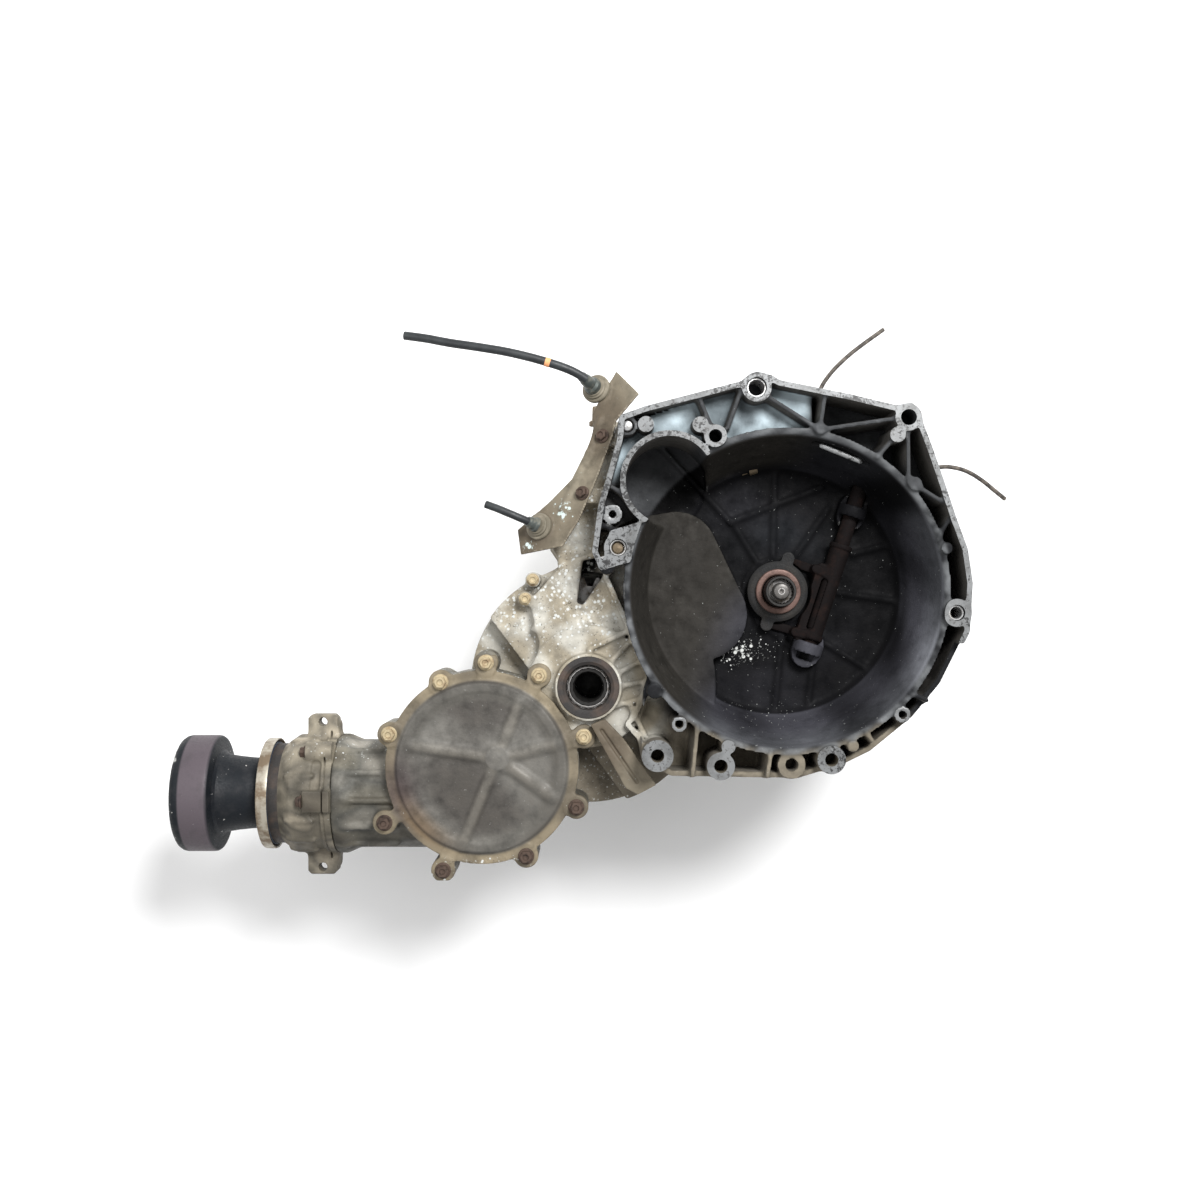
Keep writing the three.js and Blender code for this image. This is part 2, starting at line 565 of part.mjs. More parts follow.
function gearCase() {
  const top = JOINT_Z - GAP;
  const flange = join(
    skin([
      [INPUT, 88, top - 11], [INPUT, 88, top], [OUTPUT, 98, top - 11], [OUTPUT, 98, top],
      [FORK_ROOM, 60, top - 11], [FORK_ROOM, 60, top],
    ]),
    disc(DRIVESHAFT, DIFF_RADIUS, top - 11, top),
  );
  const diffShell = join(
    skin([[DRIVESHAFT, 112, top - 10], [DRIVESHAFT, 104, -152], [DRIVESHAFT, 64, -214]]),
    disc(DRIVESHAFT, 42, DIFF_END_Z, -212),
  );
  const posts = POSTS.map((at) => join(
    disc(at, 17, BASE_Z, top - 4),
    rib([at.x, at.y], [DRIVESHAFT.x, DRIVESHAFT.y], 9, -226, top - 4),
    cut(
      rib([at.x, at.y], [DRIVESHAFT.x, DRIVESHAFT.y], 9, -300, -225),
      disc(DRIVESHAFT, 56, -301, -224),
    ),
  ));
  const caseRibs = [20, 50, 80, 250, 275, 300, 325].map((degrees) => {
    const from = polar(INPUT, 50, degrees);
    const to = polar(INPUT, 74, degrees);
    return rib([from.x, from.y], [to.x, to.y], 5, CASE_END_Z + 12, top - 5);
  });
  const selectorBoss = rod(
    new THREE.Vector3(SELECTOR.x, 60, SELECTOR.z), new THREE.Vector3(SELECTOR.x, SELECTOR.low, SELECTOR.z), 28);
  const body = join(flange, selectorBoss, gearRoom(WALL, CASE_END_Z, top - 5), diffShell, posts, caseRibs, [
    disc(INPUT, 68, CASE_END_Z, CASE_END_Z + 10), disc(OUTPUT, 82, CASE_END_Z, CASE_END_Z + 10),
  ]);
  const rooms = [
    gearRoom(0, CASE_END_Z + 17, top + 1),
    skin([[DRIVESHAFT, 119, top + 1], [DRIVESHAFT, 106, top - 11], [DRIVESHAFT, 98, -152],
      [DRIVESHAFT, 58, -208]]),
    disc(DRIVESHAFT, 30.3, -225, -200),
    disc(DRIVESHAFT, 22, DIFF_END_Z - 1, -200),
    disc(INPUT, 24.3, CASE_END_Z - 1, CASE_END_Z + 18),
    disc(OUTPUT, 26.3, CASE_END_Z - 1, CASE_END_Z + 18),
    POSTS.map((at) => disc(at, 5.5, BASE_Z - 1, BASE_Z + 30)),
    rod(new THREE.Vector3(SELECTOR.x, 50, SELECTOR.z),
      new THREE.Vector3(SELECTOR.x, SELECTOR.low + 1, SELECTOR.z), 9),
  ].flat();
  return cut(body, rooms);
}

node('gear_case', 'pale_aluminium', gearCase());

function endCover() {
  const top = CASE_END_Z - GAP;
  const outer = skin([
    [INPUT, 64, top], [OUTPUT, 78, top], [INPUT, 60, BASE_Z + 8], [OUTPUT, 74, BASE_Z + 8],
    [INPUT, 52, BASE_Z], [OUTPUT, 66, BASE_Z],
  ]);
  const room = skin([
    [INPUT, 57, top + 1], [OUTPUT, 71, top + 1], [INPUT, 53, BASE_Z + 8], [OUTPUT, 67, BASE_Z + 8],
  ]);
  const wallRibs = ribs([[[-150, -36], [58, 6]], [[-68, -90], [-92, 42]]], 4, BASE_Z + 7, BASE_Z + 13);
  return join(cut(outer, room), wallRibs);
}

node('end_cover', 'pale_aluminium', endCover());

// ---------------------------------------------------------------- transfer case and cover

// the cover bolts that stand too far out for the round rim to reach their bosses
function outerBolts(bolts) {
  return bolts.filter((at) => at.distanceTo(TRANSFER) > TRANSFER_RADIUS + 9);
}

function transferCase() {
  const top = SUPPORT_Z - GAP;
  const bolts = coverBolts();
  const caseBolts = bolts.filter((_, i) => i !== 2 && i !== 4);
  const drum = join(
    disc(TRANSFER, TRANSFER_RADIUS + 2, SADDLE_Z - 8, top),
    caseBolts.map((at) => disc(at, 12.5, SADDLE_Z - 8, top)),
    outerBolts(caseBolts).map((at) => rib([at.x, at.y], [TRANSFER.x, TRANSFER.y], 14, SADDLE_Z - 8, top)),
  );
  const belly = skin([[TRANSFER, 92, SADDLE_Z - 7], [TRANSFER, 60, -150]]);
  const tube = lineTurned([
    [0, TRANSFER.x + 12], [42, TRANSFER.x + 12], [TUBE_RADIUS, TRANSFER.x - 20], [TUBE_RADIUS, CARRIER_X + 24],
    [TUBE_RADIUS + 6, CARRIER_X + 10], [TUBE_RADIUS + 6, CARRIER_X + GAP], [0, CARRIER_X + GAP],
  ]);
  const tubeRibs = [35, 90, 145].map((degrees) => {
    const at = polar({ x: PINION_Y, y: PINION_Z }, TUBE_RADIUS - 1, degrees);
    return block((CARRIER_X + TRANSFER.x - 50) / 2, at.x, at.y - 1, 108, 5, 9);
  });
  const driveshaftClearance = [
    disc(DRIVESHAFT, DRIVE_GEAR_ROOM + 5 + GAP, SADDLE_Z - 5, top + 1),
    disc(DRIVESHAFT, DIFF_RADIUS + GAP, -400, SADDLE_Z),
    [bolts[2], bolts[4]].map((at) => disc(at, 12 + GAP, SADDLE_Z - 5, top + 1)),
    disc(INPUT, tubRadius(RIM_Z) + MOUTH_WALL + GAP, -400, 1),
  ].flat();
  const rooms = [
    disc(TRANSFER, TRANSFER_ROOM, SADDLE_Z + 4, top + 1),
    disc(TRANSFER, 78, CROWN.z - 3, SADDLE_Z + 5),
    lineDisc(TUBE_ROOM, CARRIER_X - 1, TRANSFER.x - 30),
    disc(TRANSFER, 10.2, SADDLE_Z - 20, SADDLE_Z + 5),
    caseBolts.map((at) => disc(at, 4.2, top - 22, top + 1)),
  ].flat();
  return cut(join(drum, belly, tube, tubeRibs), driveshaftClearance, rooms);
}

node('transfer_case', 'cover_aluminium', transferCase());

const COVER_ARMS = [68, 163.6, 248, 339, 14];

function transferCover() {
  const low = SUPPORT_Z;
  const bolts = coverBolts();
  const hub = { x: TRANSFER.x + 12, y: TRANSFER.y };
  const rim = join(
    disc(TRANSFER, TRANSFER_RADIUS + 1.5, low, low + 5),
    bolts.map((at) => disc(at, 12.5, low, low + 6)),
    outerBolts(bolts).map((at) => rib([at.x, at.y], [TRANSFER.x, TRANSFER.y], 14, low, low + 5)),
  );
  const dome = disc(TRANSFER, 89, low + 4, low + 9);
  const groove = cut(disc(TRANSFER, 75, low + 6, low + 10), disc(TRANSFER, 71, low + 5, low + 11));
  const star = join(
    disc(hub, 17, low + 4, low + 14),
    COVER_ARMS.map((degrees) => {
      const end = polar(hub, 62, degrees);
      return rib([hub.x, hub.y], [end.x, end.y], 9, low + 4, low + 12);
    }),
  );
  const holes = bolts.map((at) => disc(at, 4.2, low - 1, low + 7));
  const bearingRoom = disc(TRANSFER, 24.3, low - 1, low + 4);
  const notch = disc(DRIVESHAFT, DRIVESHAFT_BOSS + 3, low - 1, low + 20);
  return cut(join(cut(join(rim, dome), groove), star), holes, bearingRoom, notch);
}

node('transfer_cover', 'cover_aluminium', transferCover());

function coverBolt() {
  const stem = disc({ x: 0, y: 0 }, 3.8, -12.5, 1);
  const washer = disc({ x: 0, y: 0 }, 8.6, GAP, 2.3);
  const head = disc({ x: 0, y: 0 }, 6.35, 2.2, 8.5);
  return join(stem, washer, head);
}

coverBolts().forEach((at, i) => {
  node(`cover_bolt_${i + 1}`, 'bolt_steel', coverBolt(), at.x, at.y, SUPPORT_Z + 6, 0.7 * i);
});

// ---------------------------------------------------------------- output line

function pinionCarrier() {
  const inner = CARRIER_X;
  const outer = CARRIER_X - CARRIER_LENGTH;
  const barrel = lineTurned([
    [0, inner], [64, inner], [64, inner - 10], [61, inner - 12], [61, inner - 20], [63.5, inner - 22],
    [63.5, outer + 16], [58, outer + 8], [52, outer], [0, outer],
  ]);
  const lugs = [0, 42, 90, 180, 222, 270].map((degrees) => {
    const at = polar({ x: PINION_Y, y: PINION_Z }, 66, degrees);
    return rod(
      new THREE.Vector3(inner, at.x, at.y), new THREE.Vector3(inner - 28, at.x, at.y), 11);
  });
  const ears = [-1, 1].map((side) => block(inner - 17, PINION_Y + side * 68, PINION_Z + 4, 32, 36, 18));
  const rooms = [
    lineDisc(TUBE_ROOM, inner + 1, outer + 14),
    lineDisc(40, outer + 15, outer - 1),
    [-1, 1].map((side) => rod(
      new THREE.Vector3(inner - 17, PINION_Y + side * 78, PINION_Z - 20),
      new THREE.Vector3(inner - 17, PINION_Y + side * 78, PINION_Z + 30), 4.5)),
  ].flat();
  return cut(join(barrel, lugs, ears), rooms);
}

node('pinion_carrier', 'cover_aluminium', pinionCarrier());

function bevelPinion() {
  const head = gear(PINION_TEETH, 22);
  head.rotateY(Math.PI / 2);
  head.translate(TRANSFER.x - 74, PINION_Y, PINION_Z);
  const stem = lineTurned([
    [0, TRANSFER.x - 46], [14, TRANSFER.x - 46], [14, TRANSFER.x - 73], [22, TRANSFER.x - 74],
    [22, TRANSFER.x - 90], [18, TRANSFER.x - 91], [18, FLANGE_X + 46], [13, FLANGE_X + 45],
    [13, FLANGE_X - 6], [0, FLANGE_X - 6],
  ]);
  return join(solid(head), stem);
}

node('bevel_pinion', 'gear_steel', bevelPinion());

function outputFlange() {
  const shell = lineTurned([
    [0, FLANGE_X + 44], [34, FLANGE_X + 44], [37.5, DEFLECTOR_X - 12], [43, FLANGE_X + 1],
    [FLANGE_RADIUS - 2, FLANGE_X], [FLANGE_RADIUS, FLANGE_X - 3], [FLANGE_RADIUS, FLANGE_FACE_X + 7],
    [FLANGE_RADIUS - 5, FLANGE_FACE_X], [52, FLANGE_FACE_X], [50, FLANGE_FACE_X + 12],
    [18, FLANGE_FACE_X + 14], [17, FLANGE_FACE_X + 30], [0, FLANGE_FACE_X + 30],
  ]);
  const boreholes = [0, 60, 120, 180, 240, 300].map((degrees) => {
    const at = polar({ x: PINION_Y, y: PINION_Z }, 36, degrees + 30);
    return rod(
      new THREE.Vector3(FLANGE_FACE_X - 1, at.x, at.y), new THREE.Vector3(FLANGE_X - 14, at.x, at.y), 5);
  });
  return cut(shell, boreholes, lineDisc(14.4, FLANGE_X + 50, FLANGE_X - 8));
}

node('output_flange', 'black_steel', outputFlange());

node('dust_deflector', 'zinc_steel', lineTurned([
  [38, DEFLECTOR_X - 2], [56, DEFLECTOR_X - 2], [57.5, DEFLECTOR_X + 4], [59.4, DEFLECTOR_X + 4],
  [59.4, DEFLECTOR_X - 6], [57, DEFLECTOR_X - 8], [38, DEFLECTOR_X - 8], [38, DEFLECTOR_X - 2],
]));

// ---------------------------------------------------------------- shafts and gears

const INPUT_LINE = angleTo(INPUT, OUTPUT);
const IDLER = meetingPoint(
  INPUT, pitchRadius(PAIRS.reverse.driver + IDLER_TEETH),
  OUTPUT, pitchRadius(PAIRS.reverse.driven + IDLER_TEETH));

function inputShaft() {
  const core = spun(INPUT, [
    [0, -318], [9.5, -318], [9.5, -298], [12, -297], [12, -104], [11, -103], [11, -92], [12.2, -91],
    [12.2, -58], [9, -56], [8.5, -48], [6, -46], [3, -46], [0, -52],
  ]);
  const wheels = Object.entries(PAIRS).map(([name, { driver, z }]) => {
    const line = name === 'reverse' ? angleTo(INPUT, IDLER) : INPUT_LINE;
    return gearSolid(driver, GEAR_WIDTH, z, INPUT, line);
  });
  return join(core, wheels);
}

node('input_shaft', 'gear_steel', inputShaft());

function outputShaft() {
  const core = spun(OUTPUT, [
    [0, -316], [12, -316], [12, -298], [16, -297], [16, -124], [14, -97], [14, -81], [0, -81],
  ]);
  const pinion = gearSolid(FINAL_DRIVE.driver, FINAL_DRIVE.width, FINAL_DRIVE.z, OUTPUT,
    angleTo(OUTPUT, DRIVESHAFT));
  return join(core, pinion);
}

node('output_shaft', 'gear_steel', outputShaft());

for (const [name, { driver, driven, z }] of Object.entries(PAIRS)) {
  if (name !== 'reverse') {
    const turn = meshTurn(INPUT, driver, INPUT_LINE, OUTPUT, driven);
    node(`gear_${name}`, 'gear_steel', gear(driven, GEAR_WIDTH, 17.4), OUTPUT.x, OUTPUT.y, z, turn);
  }
}
const idlerLine = angleTo(INPUT, IDLER);
const idlerTurn = meshTurn(INPUT, PAIRS.reverse.driver, idlerLine, IDLER, IDLER_TEETH);
node('reverse_idler', 'gear_steel', gear(IDLER_TEETH, GEAR_WIDTH, 9), IDLER.x, IDLER.y,
  PAIRS.reverse.z, idlerTurn);
node('gear_reverse', 'gear_steel', gear(PAIRS.reverse.driven, GEAR_WIDTH, 17.4), OUTPUT.x, OUTPUT.y,
  PAIRS.reverse.z, meshTurn(IDLER, IDLER_TEETH, idlerTurn, OUTPUT, PAIRS.reverse.driven));

function bearing(outer, inner, height) {
  return turned([[inner, 0], [outer, 0], [outer, height], [inner, height], [inner, 0]]);
}

node('input_bearing_front', 'bearing_steel', bearing(26, 13, 14), INPUT.x, INPUT.y, -119);
node('input_bearing_rear', 'bearing_steel', bearing(24, 10.4, 13), INPUT.x, INPUT.y, CASE_END_Z + 1);
node('output_bearing_front', 'bearing_steel', bearing(26, 15.1, 15), OUTPUT.x, OUTPUT.y, -96);
node('output_bearing_rear', 'bearing_steel', bearing(26, 13, 13), OUTPUT.x, OUTPUT.y, CASE_END_Z + 1);

// ---------------------------------------------------------------- shift sleeves and forks

function sleeve() {
  return turned([
    [16.6, -6], [38, -6], [38, -3], [34, -3], [34, 3], [38, 3], [38, 6], [16.6, 6], [16.6, -6],
  ]);
}

function fork(name) {
  const z = SLEEVE_HEIGHTS[name];
  const rail = polar(OUTPUT, RAIL_REACH, RAIL_ANGLES[name]);
  const half = (RAIL_ANGLES[name] * Math.PI) / 180;
  const claw = new THREE.Shape();
  claw.absarc(0, 0, 46, half - 1.5, half + 1.5, false);
  claw.absarc(0, 0, 35, half + 1.5, half - 1.5, true);
  const arc = new THREE.ExtrudeGeometry(claw, { depth: 5, bevelEnabled: false, curveSegments: 9 });
  arc.translate(OUTPUT.x, OUTPUT.y, z - 2.5);
  const neck = polar(OUTPUT, 42, RAIL_ANGLES[name]);
  return join(
    solid(arc),
    rib([neck.x, neck.y], [rail.x, rail.y], 14, z - 2.5, z + 2.5),
    disc(rail, 9, z - 6, z + 6),
    disc(rail, 5, z - 20, z + 20),
  );
}

for (const [name, z] of Object.entries(SLEEVE_HEIGHTS)) {
  node(`sleeve_${name}`, 'bearing_steel', sleeve(), OUTPUT.x, OUTPUT.y, z);
  node(`fork_${name}`, 'rusty_steel', fork(name));
}

// ---------------------------------------------------------------- differential

const FINAL_TURN = meshTurn(
  OUTPUT, FINAL_DRIVE.driver, angleTo(OUTPUT, DRIVESHAFT), DRIVESHAFT, FINAL_DRIVE.driven);
node('final_drive_gear', 'gear_steel', gear(FINAL_DRIVE.driven, FINAL_DRIVE.width, 68.5),
  DRIVESHAFT.x, DRIVESHAFT.y, FINAL_DRIVE.z, FINAL_TURN);

function diffCase() {
  const barrel = spun(DRIVESHAFT, [
    [20, -222], [24, -222], [24, -206], [34, -204], [52, -188], [52, -140], [65.6, -130], [65.6, -99],
    [30, -97], [24, -94], [24, -59], [22, -58.6], [22, -46], [20, -46], [20, -98], [42, -112], [42, -182],
    [20, -196], [20, -222],
  ]);
  const windows = [0, 90].map((degrees) => {
    const geometry = new THREE.BoxGeometry(140, 52, 36);
    geometry.rotateZ(THREE.MathUtils.degToRad(degrees + 20));
    geometry.translate(DRIVESHAFT.x, DRIVESHAFT.y, -160);
    return solid(geometry);
  });
  const wheel = cut(
    gearSolid(TRANSFER_DRIVE.driver, TRANSFER_DRIVE.width, TRANSFER_DRIVE.z, DRIVESHAFT, TRANSFER_LINE,
      TRANSFER_MODULE),
    disc(DRIVESHAFT, 22, -100, 0),
  );
  return join(cut(barrel, windows), wheel);
}

const TRANSFER_LINE = angleTo(DRIVESHAFT, TRANSFER);
node('diff_case', 'gear_steel', diffCase());
node('diff_bearing_upper', 'bearing_steel', bearing(29.7, 23.2, 11), DRIVESHAFT.x, DRIVESHAFT.y, -57.4);
node('diff_bearing_lower', 'bearing_steel', bearing(30, 25.2, 13), DRIVESHAFT.x, DRIVESHAFT.y, -222);

// a splined driveshaft socket with a sleeve of the given length
function sideGear(length) {
  return turned([
    [15, 0], [36, 0], [38, 6], [30, 16], [19.6, 18], [19.6, length], [16.5, length], [15, length - 4], [15, 0],
  ]);
}

node('side_gear_right', 'gear_steel', sideGear(84), DRIVESHAFT.x, DRIVESHAFT.y, -132);
const leftGear = node('side_gear_left', 'gear_steel', sideGear(54), DRIVESHAFT.x, DRIVESHAFT.y, -164);
leftGear.rotation.x = Math.PI;

node('driveshaft_seal', 'seal_rubber', turned([
  [22.4, 0], [26, 0], [26, 6.4], [24.5, 7], [23, 6.2], [22.4, 4], [22.4, 0],
]), DRIVESHAFT.x, DRIVESHAFT.y, -45.2);

// ---------------------------------------------------------------- transfer shaft

function transferShaft() {
  const core = spun(TRANSFER, [
    [0, -104], [8.8, -104], [8.8, -87], [16, -86], [16, -58], [14, -57.5], [14, -51], [0, -51],
  ]);
  const turn = meshTurn(DRIVESHAFT, TRANSFER_DRIVE.driver, TRANSFER_LINE, TRANSFER, TRANSFER_DRIVE.driven);
  const wheel = gearSolid(TRANSFER_DRIVE.driven, TRANSFER_DRIVE.width, TRANSFER_DRIVE.z, TRANSFER, turn,
    TRANSFER_MODULE);
  const crown = gearSolid(CROWN.teeth, CROWN.width, CROWN.z, TRANSFER, 0, TRANSFER_MODULE);
  return join(core, wheel, crown);
}

node('transfer_shaft', 'gear_steel', transferShaft());

// ---------------------------------------------------------------- clutch release gear

node('guide_tube', 'zinc_steel', turned([
  [13, 0], [24, 0], [24, 4.4], [16, 4.6], [16, 44], [13, 44], [13, 0],
]), INPUT.x, INPUT.y, HUB_Z - 4.7);

function releaseBearing() {
  const carrier = spun(INPUT, [
    [16.6, -88], [24, -88], [32, -84], [32, -79], [28, -76.5], [23.7, -76], [23.7, -73], [22.5, -72],
    [17, -72], [16.6, -73], [16.6, -88],
  ]);
  const ears = [-1, 1].map((side) => {
    const from = RELEASE_ALONG.clone().multiplyScalar(28 * side);
    const to = RELEASE_ALONG.clone().multiplyScalar(40 * side);
    return rib([from.x, from.y], [to.x, to.y], 14, -84, -79.6);
  });
  return join(carrier, ears);
}

node('release_bearing', 'copper_ring', releaseBearing());

node('release_shaft', 'rusty_steel', rod(releasePoint(-52), releasePoint(170), RELEASE_SHAFT_RADIUS));

function releaseFork() {
  const sleeveTube = rod(releasePoint(-38), releasePoint(66), 10.5);
  const arms = [-1, 1].map((side) => {
    const root = releasePoint(34 * side, RELEASE_OFFSET - 4);
    const tip = releasePoint(35 * side, 2);
    return join(
      rib([root.x, root.y], [tip.x, tip.y], 9, -88, -84.6),
      rib([root.x, root.y], [releasePoint(35 * side, 30).x, releasePoint(35 * side, 30).y], 9, -88, -70),
    );
  });
  const bridge = rib(
    [releasePoint(-38, 36).x, releasePoint(-38, 36).y], [releasePoint(38, 36).x, releasePoint(38, 36).y],
    10, -86, -72);
  return cut(
    join(sleeveTube, arms, bridge),
    rod(releasePoint(-80), releasePoint(160), RELEASE_SHAFT_RADIUS + GAP),
    disc(INPUT, 34.5, -200, 0),
  );
}

node('release_fork', 'rusty_steel', releaseFork());

function releaseLever() {
  const along = new THREE.Vector3(RELEASE_ALONG.x, RELEASE_ALONG.y, 0);
  const start = releasePoint(160);
  const eye = rod(start, start.clone().addScaledVector(along, 8), 11.5);
  const tip = releasePoint(164, RELEASE_OFFSET + 10, RELEASE_Z - 78);
  const startPair = [start, start.clone().addScaledVector(along, 6)];
  const tipPair = [tip, tip.clone().addScaledVector(along, 6)];
  const arm = cut(
    skinOf(startPair, 11, tipPair, 7),
    rod(tip.clone().addScaledVector(along, -10), tip.clone().addScaledVector(along, 20), 3.5),
  );
  return cut(join(eye, arm), rod(releasePoint(150), releasePoint(180), RELEASE_SHAFT_RADIUS + GAP));
}

// the convex skin of two round ends, each a pair of points on its own axis with a radius
function skinOf(firstPair, firstRadius, secondPair, secondRadius) {
  const points = [];
  for (const [pair, radius] of [[firstPair, firstRadius], [secondPair, secondRadius]]) {
    const axis = pair[1].clone().sub(pair[0]).normalize();
    const across = new THREE.Vector3(0, 0, 1).cross(axis).normalize();
    const third = axis.clone().cross(across);
    for (const end of pair) {
      for (let i = 0; i < 14; i += 1) {
        const angle = (i / 14) * 2 * Math.PI;
        points.push(end.clone().addScaledVector(across, radius * Math.cos(angle))
          .addScaledVector(third, radius * Math.sin(angle)));
      }
    }
  }
  return solid(new ConvexGeometry(points));
}

node('release_lever', 'zinc_steel', releaseLever());

// ---------------------------------------------------------------- selector tower and shift lever

function selectorTower() {
  const axisPoint = (y) => new THREE.Vector3(SELECTOR.x, y, SELECTOR.z);
  return cut(
    join(
      rod(axisPoint(SELECTOR.low + GAP), axisPoint(SELECTOR.high), 22),
      rod(axisPoint(SELECTOR.low + GAP), axisPoint(SELECTOR.low + 8), 30),
      rod(axisPoint(SELECTOR.high - 4), axisPoint(SELECTOR.high + 12), 15),
    ),
    rod(axisPoint(SELECTOR.low - 5), axisPoint(SELECTOR.high + 20), 9),
  );
}

node('selector_tower', 'black_plastic', selectorTower());

function shiftLever() {
  const axisPoint = (y) => new THREE.Vector3(SELECTOR.x, y, SELECTOR.z);
  const end = new THREE.Vector3(SELECTOR.x - 62, SELECTOR.high + 22, SELECTOR.z + 46);
  const endTop = end.clone().setY(end.y + 6);
  return join(
    rod(axisPoint(SELECTOR.low - 22), axisPoint(SELECTOR.high + 32), 8),
    skinOf([axisPoint(SELECTOR.high + 22), axisPoint(SELECTOR.high + 28)], 15, [end, endTop], 8),
    rod(end.clone().setY(end.y + 5), end.clone().setY(end.y + 22), 5),
  );
}

node('shift_lever', 'zinc_steel', shiftLever());

// ---------------------------------------------------------------- cable bracket and cables

const BRACKET_OUTLINE = [
  [-171, 228], [-148, 202], [-171, 175], [-175, 158], [-192, 112], [-209, 73], [-226, 46], [-270, 38],
  [-274, 64], [-240, 93], [-217, 116], [-205, 139], [-194, 158], [-196, 184],
];
function cableBracket() {
  const sheet = plate(BRACKET_OUTLINE, -200, 100).intersect(bracketSlab(-2, 2));
  return cut(
    sheet,
    rod(onBracket(-190, 209, -20), onBracket(-190, 209, 20), 11),
    rod(onBracket(-249, 66, -20), onBracket(-249, 66, 20), 10),
  );
}

node('cable_bracket', 'bracket_steel', cableBracket());

function grommet(x, y, flange, neck, bore) {
  return cut(
    join(
      rod(onBracket(x, y, 2 + GAP), onBracket(x, y, 12), flange),
      rod(onBracket(x, y, -10), onBracket(x, y, 3), neck),
    ),
    rod(onBracket(x, y, -12), onBracket(x, y, 14), bore),
  );
}

node('grommet_upper', 'black_plastic', grommet(-190, 209, 15, 10.6, 5));
node('grommet_lower', 'black_plastic', grommet(-249, 66, 14, 9.6, 4.5));

function cord(name, look, points, radius, sides, steps) {
  const path = new THREE.CatmullRomCurve3(points.map(([x, y, z]) => new THREE.Vector3(x, y, z)));
  const section = new THREE.Shape();
  for (let i = 0; i < sides; i += 1) {
    const angle = (i / sides) * 2 * Math.PI;
    if (i === 0) section.moveTo(radius, 0);
    else section.lineTo(radius * Math.cos(angle), radius * Math.sin(angle));
  }
  node(name, look, solid(new THREE.ExtrudeGeometry(section, {
    steps, extrudePath: path, bevelEnabled: false,
  })));
}

cord('shift_cable', 'cable_jacket', SHIFT_CABLE, 4.5, 10, 12);
cord('select_cable', 'cable_jacket', SELECT_CABLE, 4, 8, 5);
cord('breather_lead', 'bolt_steel', BREATHER_LEAD, 2.3, 8, 14);
cord('switch_lead', 'bolt_steel', SWITCH_LEAD, 2.3, 8, 14);

const SUPPORT_BAR = [[-198, -137], [-183, -131], [-163, -152], [-130, -199], [-149, -209], [-162, -202]];
node('support_bar', 'bracket_steel', plate(SUPPORT_BAR, SUPPORT_Z + 8 + GAP, SUPPORT_Z + 15));

// ---------------------------------------------------------------- frame: the base centre is the origin

const CORDS = ['shift_cable', 'select_cable', 'breather_lead', 'switch_lead'];
const extent = new THREE.Box3();
for (const mesh of assembly.children) {
  if (!CORDS.includes(mesh.name)) extent.expandByObject(mesh);
}
const middle = extent.getCenter(new THREE.Vector3());
assembly.position.set(-middle.x, -middle.y, -extent.min.z);
assembly.updateMatrixWorld(true);

export default assembly;
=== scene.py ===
"""Looks for the manual transmission: detailed castings, machined faces, fittings and cut cables.

Shapes are set out in millimetres about the input shaft's axis, with z = 0 on the engine mating plane, which is
the layout that the CAD model uses. place() takes such a point into the frame.
"""

import math

import bpy
import numpy as np
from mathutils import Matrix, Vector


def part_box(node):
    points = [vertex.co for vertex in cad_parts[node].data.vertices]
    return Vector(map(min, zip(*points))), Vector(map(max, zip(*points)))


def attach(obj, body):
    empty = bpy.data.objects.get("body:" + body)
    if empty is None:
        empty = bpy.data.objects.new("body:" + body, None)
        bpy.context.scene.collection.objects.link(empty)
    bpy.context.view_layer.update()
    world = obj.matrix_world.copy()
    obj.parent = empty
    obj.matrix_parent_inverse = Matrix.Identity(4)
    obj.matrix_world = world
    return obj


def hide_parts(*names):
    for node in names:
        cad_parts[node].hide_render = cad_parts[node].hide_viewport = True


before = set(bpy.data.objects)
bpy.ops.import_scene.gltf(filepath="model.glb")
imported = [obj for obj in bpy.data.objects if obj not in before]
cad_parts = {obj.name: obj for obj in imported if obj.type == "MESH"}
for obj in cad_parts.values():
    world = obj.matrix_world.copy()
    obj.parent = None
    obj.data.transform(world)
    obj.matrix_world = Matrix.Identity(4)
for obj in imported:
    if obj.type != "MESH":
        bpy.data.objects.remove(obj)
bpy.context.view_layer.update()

import openvdb
from mathutils import Vector

# ---------------------------------------------------------------- layout

guide_low, guide_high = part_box("guide_tube")
MATING_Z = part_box("bell_housing")[1].z
ORIGIN = Vector(((guide_low.x + guide_high.x) / 2, (guide_low.y + guide_high.y) / 2, MATING_Z))
MM = 0.001


def place(point):
    return ORIGIN + Vector(point) * MM


def axis_of(node):
    """The plan point in the middle of a round CAD node."""
    low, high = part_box(node)
    middle = ((low + high) / 2 - ORIGIN) / MM
    return float(middle.x), float(middle.y)


INPUT = (0.0, 0.0)
OUTPUT = axis_of("output_bearing_front")
DRIVESHAFT = axis_of("driveshaft_seal")
TRANSFER = (-310.22, -182.04)
LINE = LINE_Y, LINE_Z = -218.0, -115.0
FLOOR_Z, RIM_Z, JOINT_Z = -95.0, -6.0, -125.0
STARTER, STARTER_RADIUS = (-118.0, 111.0), 50.0

# ---------------------------------------------------------------- camera

camera = bpy.data.objects.new("camera", bpy.data.cameras.new("camera"))
camera.data.lens, camera.data.sensor_width = 40.5, 36
# straight above the mating plane, at the height that gives the photo's perspective
camera.location = place((-188, -9, 1350))
bpy.context.scene.collection.objects.link(camera)
bpy.context.scene.camera = camera

# ---------------------------------------------------------------- node materials


